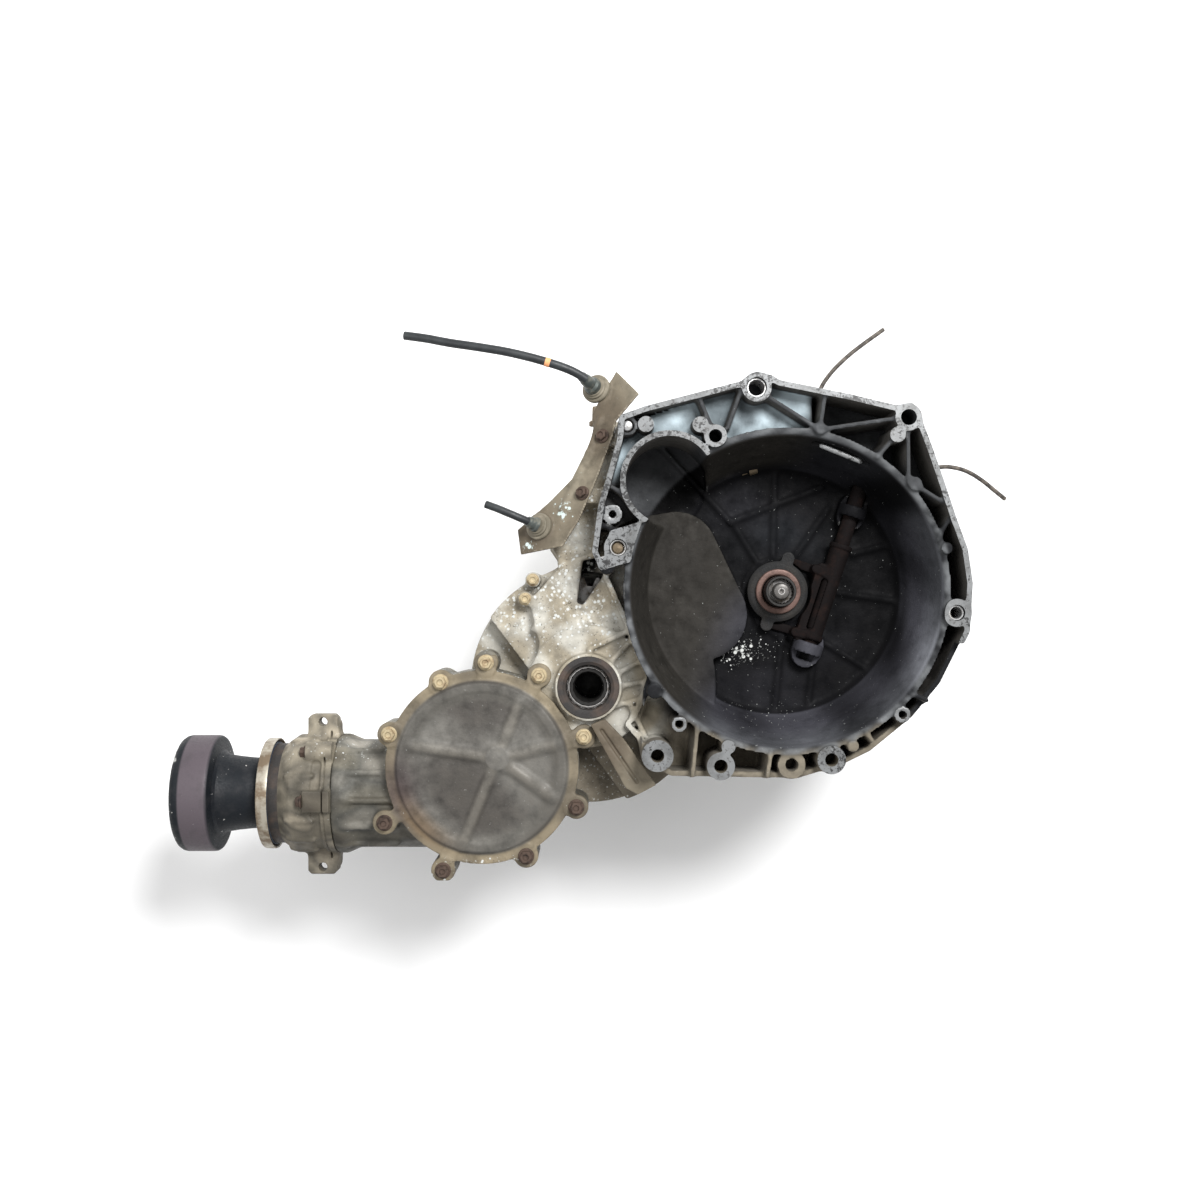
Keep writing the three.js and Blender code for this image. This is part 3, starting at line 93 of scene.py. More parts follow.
class Finish:
    """A material with helpers that add linked nodes in short lines."""

    def __init__(self, name, **values):
        self.material = bpy.data.materials.new(name)
        self.material.use_nodes = True
        self.tree = self.material.node_tree
        self.shader = self.tree.nodes["Principled BSDF"]
        for socket, value in values.items():
            self.shader.inputs[socket.replace("_", " ")].default_value = value
        self.place = self.add("TexCoord").outputs["Object"]

    def add(self, kind, *values, **settings):
        made = self.tree.nodes.new("ShaderNode" + kind)
        for key, value in settings.items():
            setattr(made, key, value)
        for socket, value in zip(made.inputs, values):
            self.put(socket, value)
        return made

    def put(self, socket, value):
        """Links a node's output to a socket, or sets the socket's value."""
        if isinstance(value, bpy.types.NodeSocket):
            self.tree.links.new(value, socket)
        elif isinstance(value, tuple) and len(value) == 3 and socket.type == "RGBA":
            socket.default_value = (*value, 1)
        else:
            socket.default_value = value

    def texture(self, kind, **values):
        made = self.add(kind, self.place)
        for socket, value in values.items():
            made.inputs[socket].default_value = value
        return made

    def noise(self, scale, detail=3.0, rough=0.6):
        return self.texture("TexNoise", Scale=scale, Detail=detail, Roughness=rough).outputs["Fac"]

    def cells(self, scale):
        return self.texture("TexVoronoi", Scale=scale).outputs["Distance"]

    def math(self, operation, *values):
        return self.add("Math", *values, operation=operation).outputs[0]

    def band(self, value, low, high, to_low=0.0, to_high=1.0):
        """Maps a range of values to another range, held at its ends."""
        return self.add("MapRange", value, low, high, to_low, to_high).outputs[0]

    def mix(self, share, first, second, blend="MIX"):
        made = self.tree.nodes.new("ShaderNodeMix")
        made.data_type = "RGBA"
        made.blend_type = blend
        self.put(made.inputs[0], share)
        self.put(made.inputs[6], first)
        self.put(made.inputs[7], second)
        return made.outputs[2]

    def attribute(self, name):
        return self.add("Attribute", attribute_name=name)

    def done(self, colour, rough, height, strength, depth):
        """Joins the last nodes to the shader and returns the material."""
        made = self.tree.nodes.new("ShaderNodeBump")
        made.inputs["Strength"].default_value = strength
        made.inputs["Distance"].default_value = depth
        self.put(made.inputs["Height"], height)
        for socket, value in (("Base Color", colour), ("Roughness", rough), ("Normal", made.outputs[0])):
            self.put(self.shader.inputs[socket], value)
        return self.material


def cast_finish(name, dirt_and_shade, bare, salt=(0.5, 0.51, 0.49), specular=0.4):
    """Weathered cast aluminium. The mesh gives its tint, and its crevices, edges and corrosion in wear_and_shade; the
    crevices are darkened with dirt and painted shade.
    """
    look = Finish(name, Metallic=0.1, Specular_IOR_Level=specular)
    tint = look.attribute("tint").outputs["Color"]
    wear_and_shade = look.add("SeparateXYZ", look.attribute("wear_and_shade").outputs["Vector"])
    crevice, edge, salty = wear_and_shade.outputs
    cloud, patch, grain, speck = look.noise(14), look.noise(70, 4), look.noise(420, 4), look.noise(260, 5, 0.7)
    shade = look.math("MULTIPLY_ADD", patch, 1.7, 0.15)
    base = look.mix(1.0, tint, look.add("CombineColor", shade, shade, shade).outputs[0], "MULTIPLY")
    grime = look.math("MULTIPLY", look.band(cloud, 0.38, 0.66), look.band(patch, 0.35, 0.62))
    soil_and_shade = look.mix(0.55, tint, dirt_and_shade)
    base = look.mix(look.math("MULTIPLY", grime, 0.55), base, soil_and_shade)
    # darker in the crevices: dirt together with painted shade
    base = look.mix(look.band(look.math("MULTIPLY_ADD", patch, 0.5, crevice), 0.62, 1.2, 0, 0.85), base, soil_and_shade)
    # bare metal where edges are worn
    paler_ridges = look.band(look.math("MULTIPLY_ADD", grain, 0.7, edge), 0.95, 1.3, 0, 0.8)
    base = look.mix(look.math("MULTIPLY", paler_ridges, look.math("SUBTRACT", 1.0, crevice)), base, bare)
    crust = look.band(look.math("MULTIPLY_ADD", salty, 0.15, speck), 0.67, 0.75, 0, 0.8)
    dots = look.band(look.math("SUBTRACT", look.cells(170), look.math("MULTIPLY", salty, 0.42)), 0.02, -0.06)
    base = look.mix(look.math("MAXIMUM", crust, dots), base, salt)
    pits = look.math("MULTIPLY", look.band(look.noise(330, 3), 0.62, 0.7), salty)
    base = look.mix(pits, base, dirt_and_shade)
    rough = look.band(patch, 0.3, 0.7, 0.82, 0.5)
    height = look.math("ADD", look.math("MULTIPLY", grain, 0.6), look.math("MULTIPLY", patch, 1.2))
    return look.done(base, rough, height, 0.55, 0.0007)


def metal_finish(name, colour, stain, rough=(0.3, 0.55), metallic=0.8, scale=120, cover=(0.5, 0.68), specular=0.35):
    """Plain or plated metal with patches of stain."""
    look = Finish(name, Metallic=metallic, Specular_IOR_Level=specular)
    patch, grain = look.noise(scale, 4), look.noise(scale * 6, 3)
    base = look.mix(look.band(patch, *cover), colour, stain)
    base = look.mix(look.band(grain, 0.6, 0.75, 0, 0.5), base, tuple(c * 0.45 for c in colour))
    return look.done(base, look.band(patch, 0.35, 0.65, *rough), grain, 0.25, 0.0003)


def machined_finish(name, clean):
    """A milled face with dull patches and dark pits, which are fewer where it is clean."""
    look = Finish(name, Metallic=0.2)
    patch, grain, fine = look.noise(45, 4), look.noise(300, 4), look.noise(900, 2)
    base = look.mix(look.band(patch, 0.45, 0.65, 0, 0.7), (0.17, 0.175, 0.178), (0.075, 0.076, 0.075))
    base = look.mix(look.band(grain, 0.56, 0.64), base, (0.06, 0.058, 0.056))
    chips = look.math("MULTIPLY_ADD", look.noise(11), 0.55, look.noise(210, 5, 0.7))
    base = look.mix(look.band(chips, 0.83 + clean, 0.86 + clean), base, (0.02, 0.02, 0.02))
    return look.done(base, look.band(grain, 0.3, 0.7, 0.3, 0.5), fine, 0.15, 0.0002)


def plain_finish(name, colour, second, rough=0.5, scale=200, bump=0.3):
    """Rubber, plastic or paint in two shades."""
    look = Finish(name, Metallic=0.0)
    patch, grain = look.noise(scale / 4, 4), look.noise(scale * 4, 3)
    base = look.mix(look.band(patch, 0.42, 0.66), colour, second)
    return look.done(base, look.band(grain, 0.3, 0.7, rough, min(1.0, rough + 0.25)), grain, bump, 0.0002)


def flange_finish():
    """Black paint with a purplish brown band and chips down to bright metal at the front edge."""
    look = Finish("flange_paint", Metallic=0.1, Specular_IOR_Level=0.25)
    split = look.add("SeparateXYZ", look.place)
    along = look.math("DIVIDE", look.math("SUBTRACT", split.outputs[0], place((-639, 0, 0)).x), MM)
    patch, grain = look.noise(60, 4), look.noise(500, 3)
    band = look.math("MULTIPLY", look.band(along, 10, 12), look.band(along, 41, 38))
    base = look.mix(band, (0.006, 0.008, 0.011), (0.085, 0.07, 0.08))
    base = look.mix(look.band(patch, 0.5, 0.75, 0, 0.4), base, (0.04, 0.038, 0.04))
    edge = look.band(along, 13, 1, 0, 0.3)
    chips = look.band(look.math("ADD", look.noise(55, 5, 0.65), edge), 0.82, 0.86)
    base = look.mix(chips, base, (0.4, 0.4, 0.385))
    specks = look.band(look.noise(190, 2), 0.73, 0.76)
    base = look.mix(specks, base, (0.45, 0.44, 0.42))
    return look.done(base, look.band(grain, 0.3, 0.7, 0.45, 0.7), grain, 0.3, 0.0003)


BELL_CAST = cast_finish("bell_cast", (0.004, 0.0033, 0.003), (0.15, 0.15, 0.145), specular=0.06)
CASE_CAST = cast_finish("case_cast", (0.12, 0.092, 0.062), (0.62, 0.6, 0.55))
COVER_CAST = cast_finish("cover_cast", (0.03, 0.022, 0.014), (0.3, 0.26, 0.2))
BRACKET_CAST = cast_finish("bracket_paint", (0.05, 0.036, 0.022), (0.34, 0.3, 0.23), (0.5, 0.58, 0.56))
MACHINED = machined_finish("machined", 0.0)
MACHINED_BOSS = machined_finish("machined_boss", 0.07)
GEAR_STEEL = metal_finish("gear_steel_finish", (0.42, 0.41, 0.4), (0.16, 0.13, 0.1))
BEARING_STEEL = metal_finish("bearing_steel_finish", (0.6, 0.6, 0.6), (0.3, 0.28, 0.25), (0.22, 0.4))
SHAFT_STEEL = metal_finish("shaft_steel_finish", (0.1, 0.095, 0.09), (0.035, 0.029, 0.025), (0.35, 0.55), 0.5)
ZINC = metal_finish("zinc_finish", (0.36, 0.33, 0.27), (0.16, 0.12, 0.08), (0.35, 0.6), 0.4, 60, (0.42, 0.58))
RUST = metal_finish("rust_finish", (0.006, 0.0045, 0.0045), (0.013, 0.008, 0.007), (0.7, 0.9), 0.1, 80, specular=0.07)
COPPER = metal_finish("copper_finish", (0.12, 0.072, 0.06), (0.055, 0.032, 0.025), (0.35, 0.5), 0.4, 90)
CARRIER_BLACK = plain_finish("carrier_black_finish", (0.006, 0.006, 0.0065), (0.014, 0.012, 0.01), 0.75)
GREASY = metal_finish("greasy_finish", (0.022, 0.021, 0.02), (0.012, 0.011, 0.01), (0.35, 0.6), 0.5)
BRASS = metal_finish("brass_finish", (0.13, 0.1, 0.065), (0.05, 0.038, 0.026), (0.4, 0.6), 0.6, 80)
YELLOW_ZINC = metal_finish("yellow_zinc_finish", (0.4, 0.33, 0.21), (0.24, 0.17, 0.1), (0.45, 0.65), 0.4, 130)
DARK_BOLT = metal_finish("dark_bolt_finish", (0.075, 0.05, 0.038), (0.03, 0.022, 0.018), (0.6, 0.85), 0.3, 130)
RUBBER = plain_finish("rubber_finish", (0.016, 0.014, 0.013), (0.05, 0.033, 0.024), 0.6)
PLASTIC = plain_finish("plastic_finish", (0.045, 0.045, 0.047), (0.13, 0.11, 0.08), 0.5)
GROMMET = plain_finish("grommet_finish", (0.12, 0.105, 0.075), (0.24, 0.21, 0.16), 0.6)
FERRULE = metal_finish("ferrule_finish", (0.07, 0.08, 0.075), (0.17, 0.165, 0.135), (0.4, 0.6), 0.4, 150)
JACKET = plain_finish("jacket_finish", (0.009, 0.011, 0.013), (0.02, 0.024, 0.026), 0.4)
ORANGE = plain_finish("orange_finish", (0.75, 0.32, 0.13), (0.65, 0.3, 0.16), 0.5)
LEAD = plain_finish("lead_finish", (0.035, 0.03, 0.026), (0.13, 0.11, 0.09), 0.6, 600)
BLUE_BLACK = plain_finish("blue_black_finish", (0.02, 0.028, 0.045), (0.035, 0.045, 0.065), 0.5, 90)
FLANGE = flange_finish()

# ---------------------------------------------------------------- pieces


def finish_piece(made, body, material, replaced=(), sharp=38):
    """Smooths a piece, gives it its material, and ties it to its body and the CAD nodes that it replaces."""
    bpy.context.scene.collection.objects.link(made)
    if made.type == "MESH":
        made.data.shade_smooth()
        made.data.set_sharp_from_angle(angle=math.radians(sharp))
    if not made.data.materials:
        made.data.materials.append(material)
    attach(made, body)
    if replaced:
        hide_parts(*replaced)
    return made


def read(items, key, kind=np.float32):
    """A vector property of all vertices, faces or triangles, as rows of three."""
    values = np.empty(len(items) * 3, kind)
    items.foreach_get(key, values)
    return values.reshape(-1, 3)


def quad_strip(rings, sides, closed=False):
    """Quads between rings of points that follow each other in the list of points."""
    first = np.arange(rings if closed else rings - 1)[:, None] * sides
    second = (first + sides) % (rings * sides)
    k = np.arange(sides)
    m = (k + 1) % sides
    return np.stack([first + k, first + m, second + m, second + k], axis=-1).reshape(-1, 4)


def mesh_object(name, points, faces):
    """A mesh from layout points in an array and faces that all have the same number of corners, or a list."""
    mesh = bpy.data.meshes.new(name)
    at = np.asarray(points, np.float64) * MM + np.array(ORIGIN)
    if isinstance(faces, np.ndarray):
        count, corners = faces.shape
        mesh.vertices.add(len(at))
        mesh.vertices.foreach_set("co", at.astype(np.float32).ravel())
        mesh.loops.add(count * corners)
        mesh.loops.foreach_set("vertex_index", faces.astype(np.int32).ravel())
        mesh.polygons.add(count)
        mesh.polygons.foreach_set("loop_start", np.arange(0, count * corners, corners, dtype=np.int32))
        mesh.update(calc_edges=True)
    else:
        mesh.from_pydata([tuple(p) for p in at], [], faces)
    mesh.validate()
    return bpy.data.objects.new(name, mesh)


def frame_about(start, end):
    """Three unit axes, the third along the line from start to end."""
    along = np.subtract(end, start).astype(float)
    along /= np.linalg.norm(along)
    helper = np.array([0, 0, 1.0]) if abs(along[2]) < 0.9 else np.array([1.0, 0, 0])
    across = np.cross(helper, along)
    across /= np.linalg.norm(across)
    return across, np.cross(along, across), along


def lathe(name, start, end, profile, body, slot, material, replaced=(), sides=72, sharp=32):
    """A solid of revolution: profile has [radius, distance from start], and closes on itself."""
    across, aside, along = frame_about(start, end)
    turn = np.linspace(0, 2 * math.pi, sides, endpoint=False)
    ring = np.cos(turn)[:, None] * across + np.sin(turn)[:, None] * aside
    points = [np.asarray(start) + ring * max(r, 0.01) + along * s for r, s in profile]
    made = mesh_object(name, np.vstack(points), quad_strip(len(profile), sides, True))
    settle_normals(made)
    return finish_piece(made, body, material, replaced, sharp)


def upright(name, at, z, profile, *rest, **more):
    """A lathe piece about an upright axis at a plan point, with its profile measured up from z."""
    return lathe(name, (*at, z), (*at, z + 1), profile, *rest, **more)


def on_line(name, x, profile, *rest):
    """A lathe piece about the output line, with its profile measured outwards from x."""
    return lathe(name, (x, *LINE), (x - 1, *LINE), profile, *rest)


def settle_normals(made):
    """Turns every face outwards, judged by the sign of the volume."""
    mesh = made.data
    mesh.calc_loop_triangles()
    corners, at = read(mesh.loop_triangles, "vertices", np.int32), read(mesh.vertices, "co")
    a, b, c = (at[corners[:, i]] for i in range(3))
    if np.einsum("ij,ij->i", a, np.cross(b, c)).sum() < 0:
        mesh.flip_normals()


def hex_bolt(name, head_at, outward, across_flats, washer, material, replaced=(), height=6.2, recess=3.2):
    """A flanged hexagon head with a chamfered top and a shallow recess, on a washer face."""
    x, y, along = frame_about(head_at, np.add(head_at, outward))
    start = np.asarray(head_at, float)
    flat = across_flats / 2 / math.cos(math.pi / 6)
    rings = [(washer, 0, 0), (washer, 1.3, 0), (washer - 1, 2.1, 0), (flat, 2.2, 1), (flat, height - 0.8, 1),
             (flat - 1.1, height, 0.6), (recess, height, 0), (recess - 0.6, height - 1.4, 0), (0.01, height - 1.6, 0)]
    sides = 24
    points = []
    for radius, rise, corner in rings:
        for k in range(sides):
            turn = 2 * math.pi * k / sides
            off = (turn + math.pi / 6) % (math.pi / 3) - math.pi / 6
            hexed = radius * math.cos(math.pi / 6) / math.cos(off)
            r = radius + (hexed - radius) * corner
            points.append(start + x * r * math.cos(turn) + y * r * math.sin(turn) + along * rise)
    faces = quad_strip(len(rings), sides).tolist() + [tuple(range(sides))[::-1]]
    made = mesh_object(name, points, faces)
    settle_normals(made)
    return finish_piece(made, "case", material, replaced, 28)


# ---------------------------------------------------------------- free cords

SHIFT_CABLE = [
    (-202, 216, -26), (-213.1, 222.2, -22.8), (-225, 227.1, -20.9), (-237.4, 231.1, -20), (-249.9, 234.8, -19.8),
    (-262.5, 238.2, -20.1), (-275.1, 241.3, -20.8), (-287.8, 244.1, -21.9), (-300.6, 246.5, -23.3),
    (-313.3, 248.8, -25), (-326, 251, -27), (-338.7, 253.2, -29.2), (-351.3, 255.8, -31.4), (-363.9, 258.6, -33.6),
    (-376.4, 260.9, -36.2), (-389, 263, -39),
]
SELECT_CABLE = [
    (-258, 70, -36), (-261.2, 71.3, -34.6), (-264.3, 72.6, -33.1), (-267.5, 74, -31.8), (-270.8, 75.3, -30.8),
    (-274.2, 76.7, -30.3), (-277.6, 78.2, -30), (-281, 79.6, -30), (-284.5, 81, -30.1), (-287.9, 82.5, -30.3),
    (-291.3, 83.9, -30.7), (-294.7, 85.3, -31.1), (-298.1, 86.5, -31.7), (-301.6, 87.8, -32.3), (-305, 89, -33),
]
BREATHER_LEAD = [
    (33, 160, -88), (35.8, 170.1, -89.3), (38.1, 180.2, -90.7), (40.1, 190.5, -92), (42.5, 200.7, -92.7),
    (45.6, 210.8, -93.3), (49.7, 220.4, -94), (55.5, 229.2, -94.5), (62.1, 237.3, -95.1), (69.5, 244.8, -95.5),
    (77.2, 251.9, -96.6), (85.1, 258.5, -98.5), (93.3, 264.8, -100.5), (101.6, 271, -102.6), (109.8, 277, -105.2),
    (118, 283, -108),
]
SWITCH_LEAD = [
    (127, 90, -92), (133, 98, -92.8), (139, 106.1, -93.1), (145.2, 114, -93.1), (152.3, 121.2, -92.6),
    (160.3, 127.2, -92), (169.4, 131.4, -91.9), (179.3, 133.3, -92.1), (189.3, 132.6, -92.7), (199, 130.5, -93.7),
    (208.3, 126.9, -95.1), (217, 122.1, -96.8), (225.3, 116.8, -98.8), (233.2, 111, -101.1), (241.1, 105.4, -103.9),
    (249, 100, -107),
]


def route_length(route):
    return sum((Vector(b) - Vector(a)).length for a, b in zip(route, route[1:])) * MM


def free_cord(name, route, diameter, material):
    """A curve through the route's points."""
    curve = bpy.data.curves.new(name, "CURVE")
    curve.dimensions = "3D"
    curve.bevel_depth = diameter / 2 * MM
    curve.bevel_resolution = 6
    curve.resolution_u = 6
    curve.use_fill_caps = True
    spline = curve.splines.new("BEZIER")
    spline.bezier_points.add(len(route) - 1)
    for point, at in zip(spline.bezier_points, route):
        point.co = place(at)
        point.handle_left_type = point.handle_right_type = "AUTO"
    made = bpy.data.objects.new(name, curve)
    finish_piece(made, "case", material, (name,))
    made.name = name + "_run"
    place(route[0])
    route_length(route)


leg_start, leg_end = np.array(SHIFT_CABLE[3]), np.array(SHIFT_CABLE[4])
band_start, band_end = (leg_start + (leg_end - leg_start) * share for share in (0.1, 0.5))
band_long = float(np.linalg.norm(band_end - band_start))
band = lathe("shift_cable_band", band_start, band_end, [
    (4.4, 0), (4.75, 0), (4.75, band_long * 0.3), (4.75, band_long), (4.4, band_long),
], "case", "black_plastic", ORANGE, sides=32)
beyond_tip = np.subtract(np.multiply(SELECT_CABLE[-1], 2), SELECT_CABLE[-2])
tip = lathe("select_cable_core", SELECT_CABLE[-1], beyond_tip, [
    (1.6, -1), (3.9, -1), (3.9, 0.25), (3.2, 0.5), (1.9, 0.5), (1.6, 0.1),
], "case", "zinc_steel", BEARING_STEEL, sides=32)
free_cord("shift_cable", SHIFT_CABLE, 9.0, JACKET)
free_cord("select_cable", SELECT_CABLE, 8.0, JACKET)
free_cord("breather_lead", BREATHER_LEAD, 4.6, LEAD)
free_cord("switch_lead", SWITCH_LEAD, 4.6, LEAD)

# ---------------------------------------------------------------- solids as grids of distances

FAR = 24.0


class Shape:
    """A distance function with the box that its solid lies in."""

    def __init__(self, low, high, distance):
        self.low, self.high, self.distance = np.array(low, float), np.array(high, float), distance

    def less(self, *others):
        def distance(x, y, z):
            value = self.distance(x, y, z)
            for other in others:
                value = np.maximum(value, -other.distance(x, y, z))
            return value
        return Shape(self.low, self.high, distance)

    def within(self, other):
        return Shape(self.low, self.high, lambda x, y, z: np.maximum(self.distance(x, y, z), other.distance(x, y, z)))


def both(*shapes):
    low = np.min([s.low for s in shapes], axis=0)
    high = np.max([s.high for s in shapes], axis=0)

    def distance(x, y, z):
        value = shapes[0].distance(x, y, z)
        for other in shapes[1:]:
            value = np.minimum(value, other.distance(x, y, z))
        return value
    return Shape(low, high, distance)


def levels(plan, z, low, high):
    """A plan distance, limited to a range of heights."""
    return np.maximum(plan, np.abs(z - (low + high) / 2) - (high - low) / 2)


def disc(centre, radius, low, high, top=None):
    slope = 0 if top is None else (top - radius) / (high - low)
    cx, cy = centre
    widest = max(radius, top or 0)
    return Shape((cx - widest, cy - widest, low), (cx + widest, cy + widest, high), lambda x, y, z: levels(
        np.hypot(x - cx, y - cy) - (radius + slope * (z - low)), z, low, high))


def outline_distance(x, y, points):
    best = np.full(np.broadcast(x, y).shape, 1e9)
    inside = np.zeros(best.shape, bool)
    for (ax, ay), (bx, by) in zip(points, points[1:] + points[:1]):
        ex, ey, wx, wy = bx - ax, by - ay, x - ax, y - ay
        t = np.clip((wx * ex + wy * ey) / (ex * ex + ey * ey), 0, 1)
        best = np.minimum(best, (wx - t * ex) ** 2 + (wy - t * ey) ** 2)
        if ay != by:
            inside ^= ((ay > y) != (by > y)) & (x < ex * (y - ay) / (by - ay) + ax)
    return np.where(inside, -1, 1) * np.sqrt(best)


def prism(points, low, high, grow=0.0, draft=0.0):
    """An upright prism, grown sideways by a distance, that widens downwards with draft."""
    at = np.array(points, float)
    wide = max(grow, grow + draft * (high - low), 0)
    return Shape((*(at.min(0) - wide), low), (*(at.max(0) + wide), high), lambda x, y, z: levels(
        outline_distance(x, y, points) - grow - draft * (high - z), z, low, high))


def rib(start, end, width, low, high, draft=0.035):
    """An upright rib with round ends that widens downwards."""
    (ax, ay), (bx, by) = start, end
    ex, ey = bx - ax, by - ay
    wide = width / 2 + draft * (high - low)

    def distance(x, y, z):
        t = np.clip(((x - ax) * ex + (y - ay) * ey) / (ex * ex + ey * ey), 0, 1)
        plan = np.hypot(x - ax - t * ex, y - ay - t * ey)
        return levels(plan - width / 2 - draft * (high - z), z, low, high)
    return Shape((min(ax, bx) - wide, min(ay, by) - wide, low), (max(ax, bx) + wide, max(ay, by) + wide, high),
                 distance)


def rod(start, end, radius, end_radius=None):
    """A round bar with flat ends, tapered when end_radius is given."""
    a, b = np.array(start, float), np.array(end, float)
    long = np.linalg.norm(b - a)
    along = (b - a) / long
    end_radius = radius if end_radius is None else end_radius
    wide = max(radius, end_radius)

    def distance(x, y, z):
        px, py, pz = x - a[0], y - a[1], z - a[2]
        s = px * along[0] + py * along[1] + pz * along[2]
        off = np.sqrt(np.maximum(px * px + py * py + pz * pz - s * s, 0))
        return np.maximum(off - (radius + (end_radius - radius) * s / long), np.abs(s - long / 2) - long / 2)
    return Shape(np.minimum(a, b) - wide, np.maximum(a, b) + wide, distance)


def ball_bar(start, end, radius):
    """A bar with round ends, for raised ribs."""
    a, b = np.array(start, float), np.array(end, float)
    e = b - a

    def distance(x, y, z):
        t = np.clip(((x - a[0]) * e[0] + (y - a[1]) * e[1] + (z - a[2]) * e[2]) / (e @ e), 0, 1)
        return np.sqrt((x - a[0] - t * e[0]) ** 2 + (y - a[1] - t * e[1]) ** 2 + (z - a[2] - t * e[2]) ** 2) - radius
    return Shape(np.minimum(a, b) - radius, np.maximum(a, b) + radius, distance)


def spun(centre, profile):
    """A solid of revolution about an upright axis, from [radius, z] corners that start and end on the axis."""
    widest = max(r for r, _ in profile)
    heights = [z for _, z in profile]
    full = profile + [(-r, z) for r, z in reversed(profile) if r > 0]
    cx, cy = centre
    return Shape((cx - widest, cy - widest, min(heights)), (cx + widest, cy + widest, max(heights)),
                 lambda x, y, z: outline_distance(np.hypot(x - cx, y - cy), z + 0 * x, full))


def line_spun(profile):
    """The same about the output line, from [radius, x] corners."""
    widest = max(r for r, _ in profile)
    along = [x for _, x in profile]
    full = profile + [(-r, x) for r, x in reversed(profile) if r > 0]
    return Shape((min(along), LINE_Y - widest, LINE_Z - widest), (max(along), LINE_Y + widest, LINE_Z + widest),
                 lambda x, y, z: outline_distance(np.hypot(y - LINE_Y, z - LINE_Z), x + 0 * y, full))


def line_disc(radius, start, end):
    return rod((start, LINE_Y, LINE_Z), (end, LINE_Y, LINE_Z), radius)


def around(circles):
    """The convex outline of some plan circles, each [centre, radius]."""
    points = sorted({(round(c[0] + r * math.cos(a), 4), round(c[1] + r * math.sin(a), 4))
                     for c, r in circles for a in np.linspace(0, 2 * math.pi, 48, endpoint=False)})

    def half(run):
        kept = []
        for p in run:
            while len(kept) > 1 and ((kept[-1][0] - kept[-2][0]) * (p[1] - kept[-2][1])
                                     - (kept[-1][1] - kept[-2][1]) * (p[0] - kept[-2][0])) <= 0:
                kept.pop()
            kept.append(p)
        return kept[:-1]
    return half(points) + half(points[::-1])


def plane(point, normal):
    """The half space behind a plane."""
    n = np.array(normal, float) / np.linalg.norm(normal)
    huge = (-9999,) * 3, (9999,) * 3
    return Shape(*huge, lambda x, y, z: (x - point[0]) * n[0] + (y - point[1]) * n[1] + (z - point[2]) * n[2])


def smooth_min(a, b, blend):
    if blend <= 0:
        return np.minimum(a, b)
    h = np.maximum(blend - np.abs(a - b), 0) / blend
    return np.minimum(a, b) - h * h * blend / 4


class Casting:
    """A solid on a grid of distances, whose joins and cuts leave cast fillets."""

    def __init__(self, low, high, pitch):
        self.low, self.pitch = np.array(low, float), pitch
        self.count = np.ceil((np.array(high) - self.low) / pitch).astype(int) + 1
        self.field = np.full(self.count, FAR, np.float32)

    def window(self, shape, margin):
        first = np.clip(((shape.low - margin - self.low) / self.pitch).astype(int), 0, self.count)
        last = np.clip(np.ceil((shape.high + margin - self.low) / self.pitch).astype(int) + 1, 0, self.count)
        where = tuple(slice(a, b) for a, b in zip(first, last))
        grids = np.ogrid[where]
        return where, [self.low[i] + self.pitch * grids[i] for i in range(3)]

    def add(self, *shapes, blend=3.0):
        for shape in shapes:
            where, at = self.window(shape, blend + FAR / 2)
            if self.field[where].size:
                self.field[where] = smooth_min(self.field[where], shape.distance(*at), blend)

    def cut(self, *shapes, blend=1.5):
        for shape in shapes:
            where, at = self.window(shape, blend + 3 * self.pitch)
            if self.field[where].size:
                self.field[where] = -smooth_min(-self.field[where], shape.distance(*at), blend)

    def sample(self, points):
        """The field at layout points, read between the grid's own points."""
        at = np.clip((points - self.low) / self.pitch, 0, self.count - 1.001)
        i = at.astype(int)
        f = at - i
        total = np.zeros(len(points))
        for corner in np.ndindex(2, 2, 2):
            share = np.prod(np.where(corner, f, 1 - f), axis=1)
            total += share * self.field[tuple((i + corner).T)]
        return total

    def surface(self, name):
        limit = 3 * self.pitch
        grid = openvdb.FloatGrid()
        grid.background = limit
        solid = np.clip(self.field, -limit, limit)
        for axis in range(3):
            for side in (0, -1):
                solid[(slice(None),) * axis + (side,)] = limit
        grid.copyFromArray(solid)
        points, quads = grid.convertToQuads(isovalue=0.0)
        made = mesh_object(name, points * self.pitch + self.low, quads)
        settle_normals(made)
        return made

    def paint(self, made, tint, salty, depth=2.6):
        """Stores the tint and the masks that the cast finish reads: crevices for dirt and painted shade, thin edges for
        wear, and corrosion.
        """
        mesh = made.data
        points = (read(mesh.vertices, "co") - np.array(ORIGIN)) / MM
        normal = read(mesh.vertex_normals, "vector")
        # how open the space above each point is; the finish paints shade and dirt where it is closed in
        open_share = np.mean([np.clip(self.sample(points + normal * h) / h, 0, 1) for h in (4, 9, 18)], axis=0)
        thick = np.clip(-self.sample(points - normal * depth) / depth, 0, 1)
        wear_and_shade = np.stack([1 - open_share, 1 - thick, salty(points, normal)], axis=1)
        colours = np.ones((len(points), 4))
        colours[:, :3] = tint(points, normal)
        for name, kind, values in (("tint", "color", colours), ("wear_and_shade", "vector", wear_and_shade)):
            layer = mesh.attributes.new(name, "FLOAT_" + kind.upper(), "POINT")
            layer.data.foreach_set(kind, values.astype(np.float32).ravel())


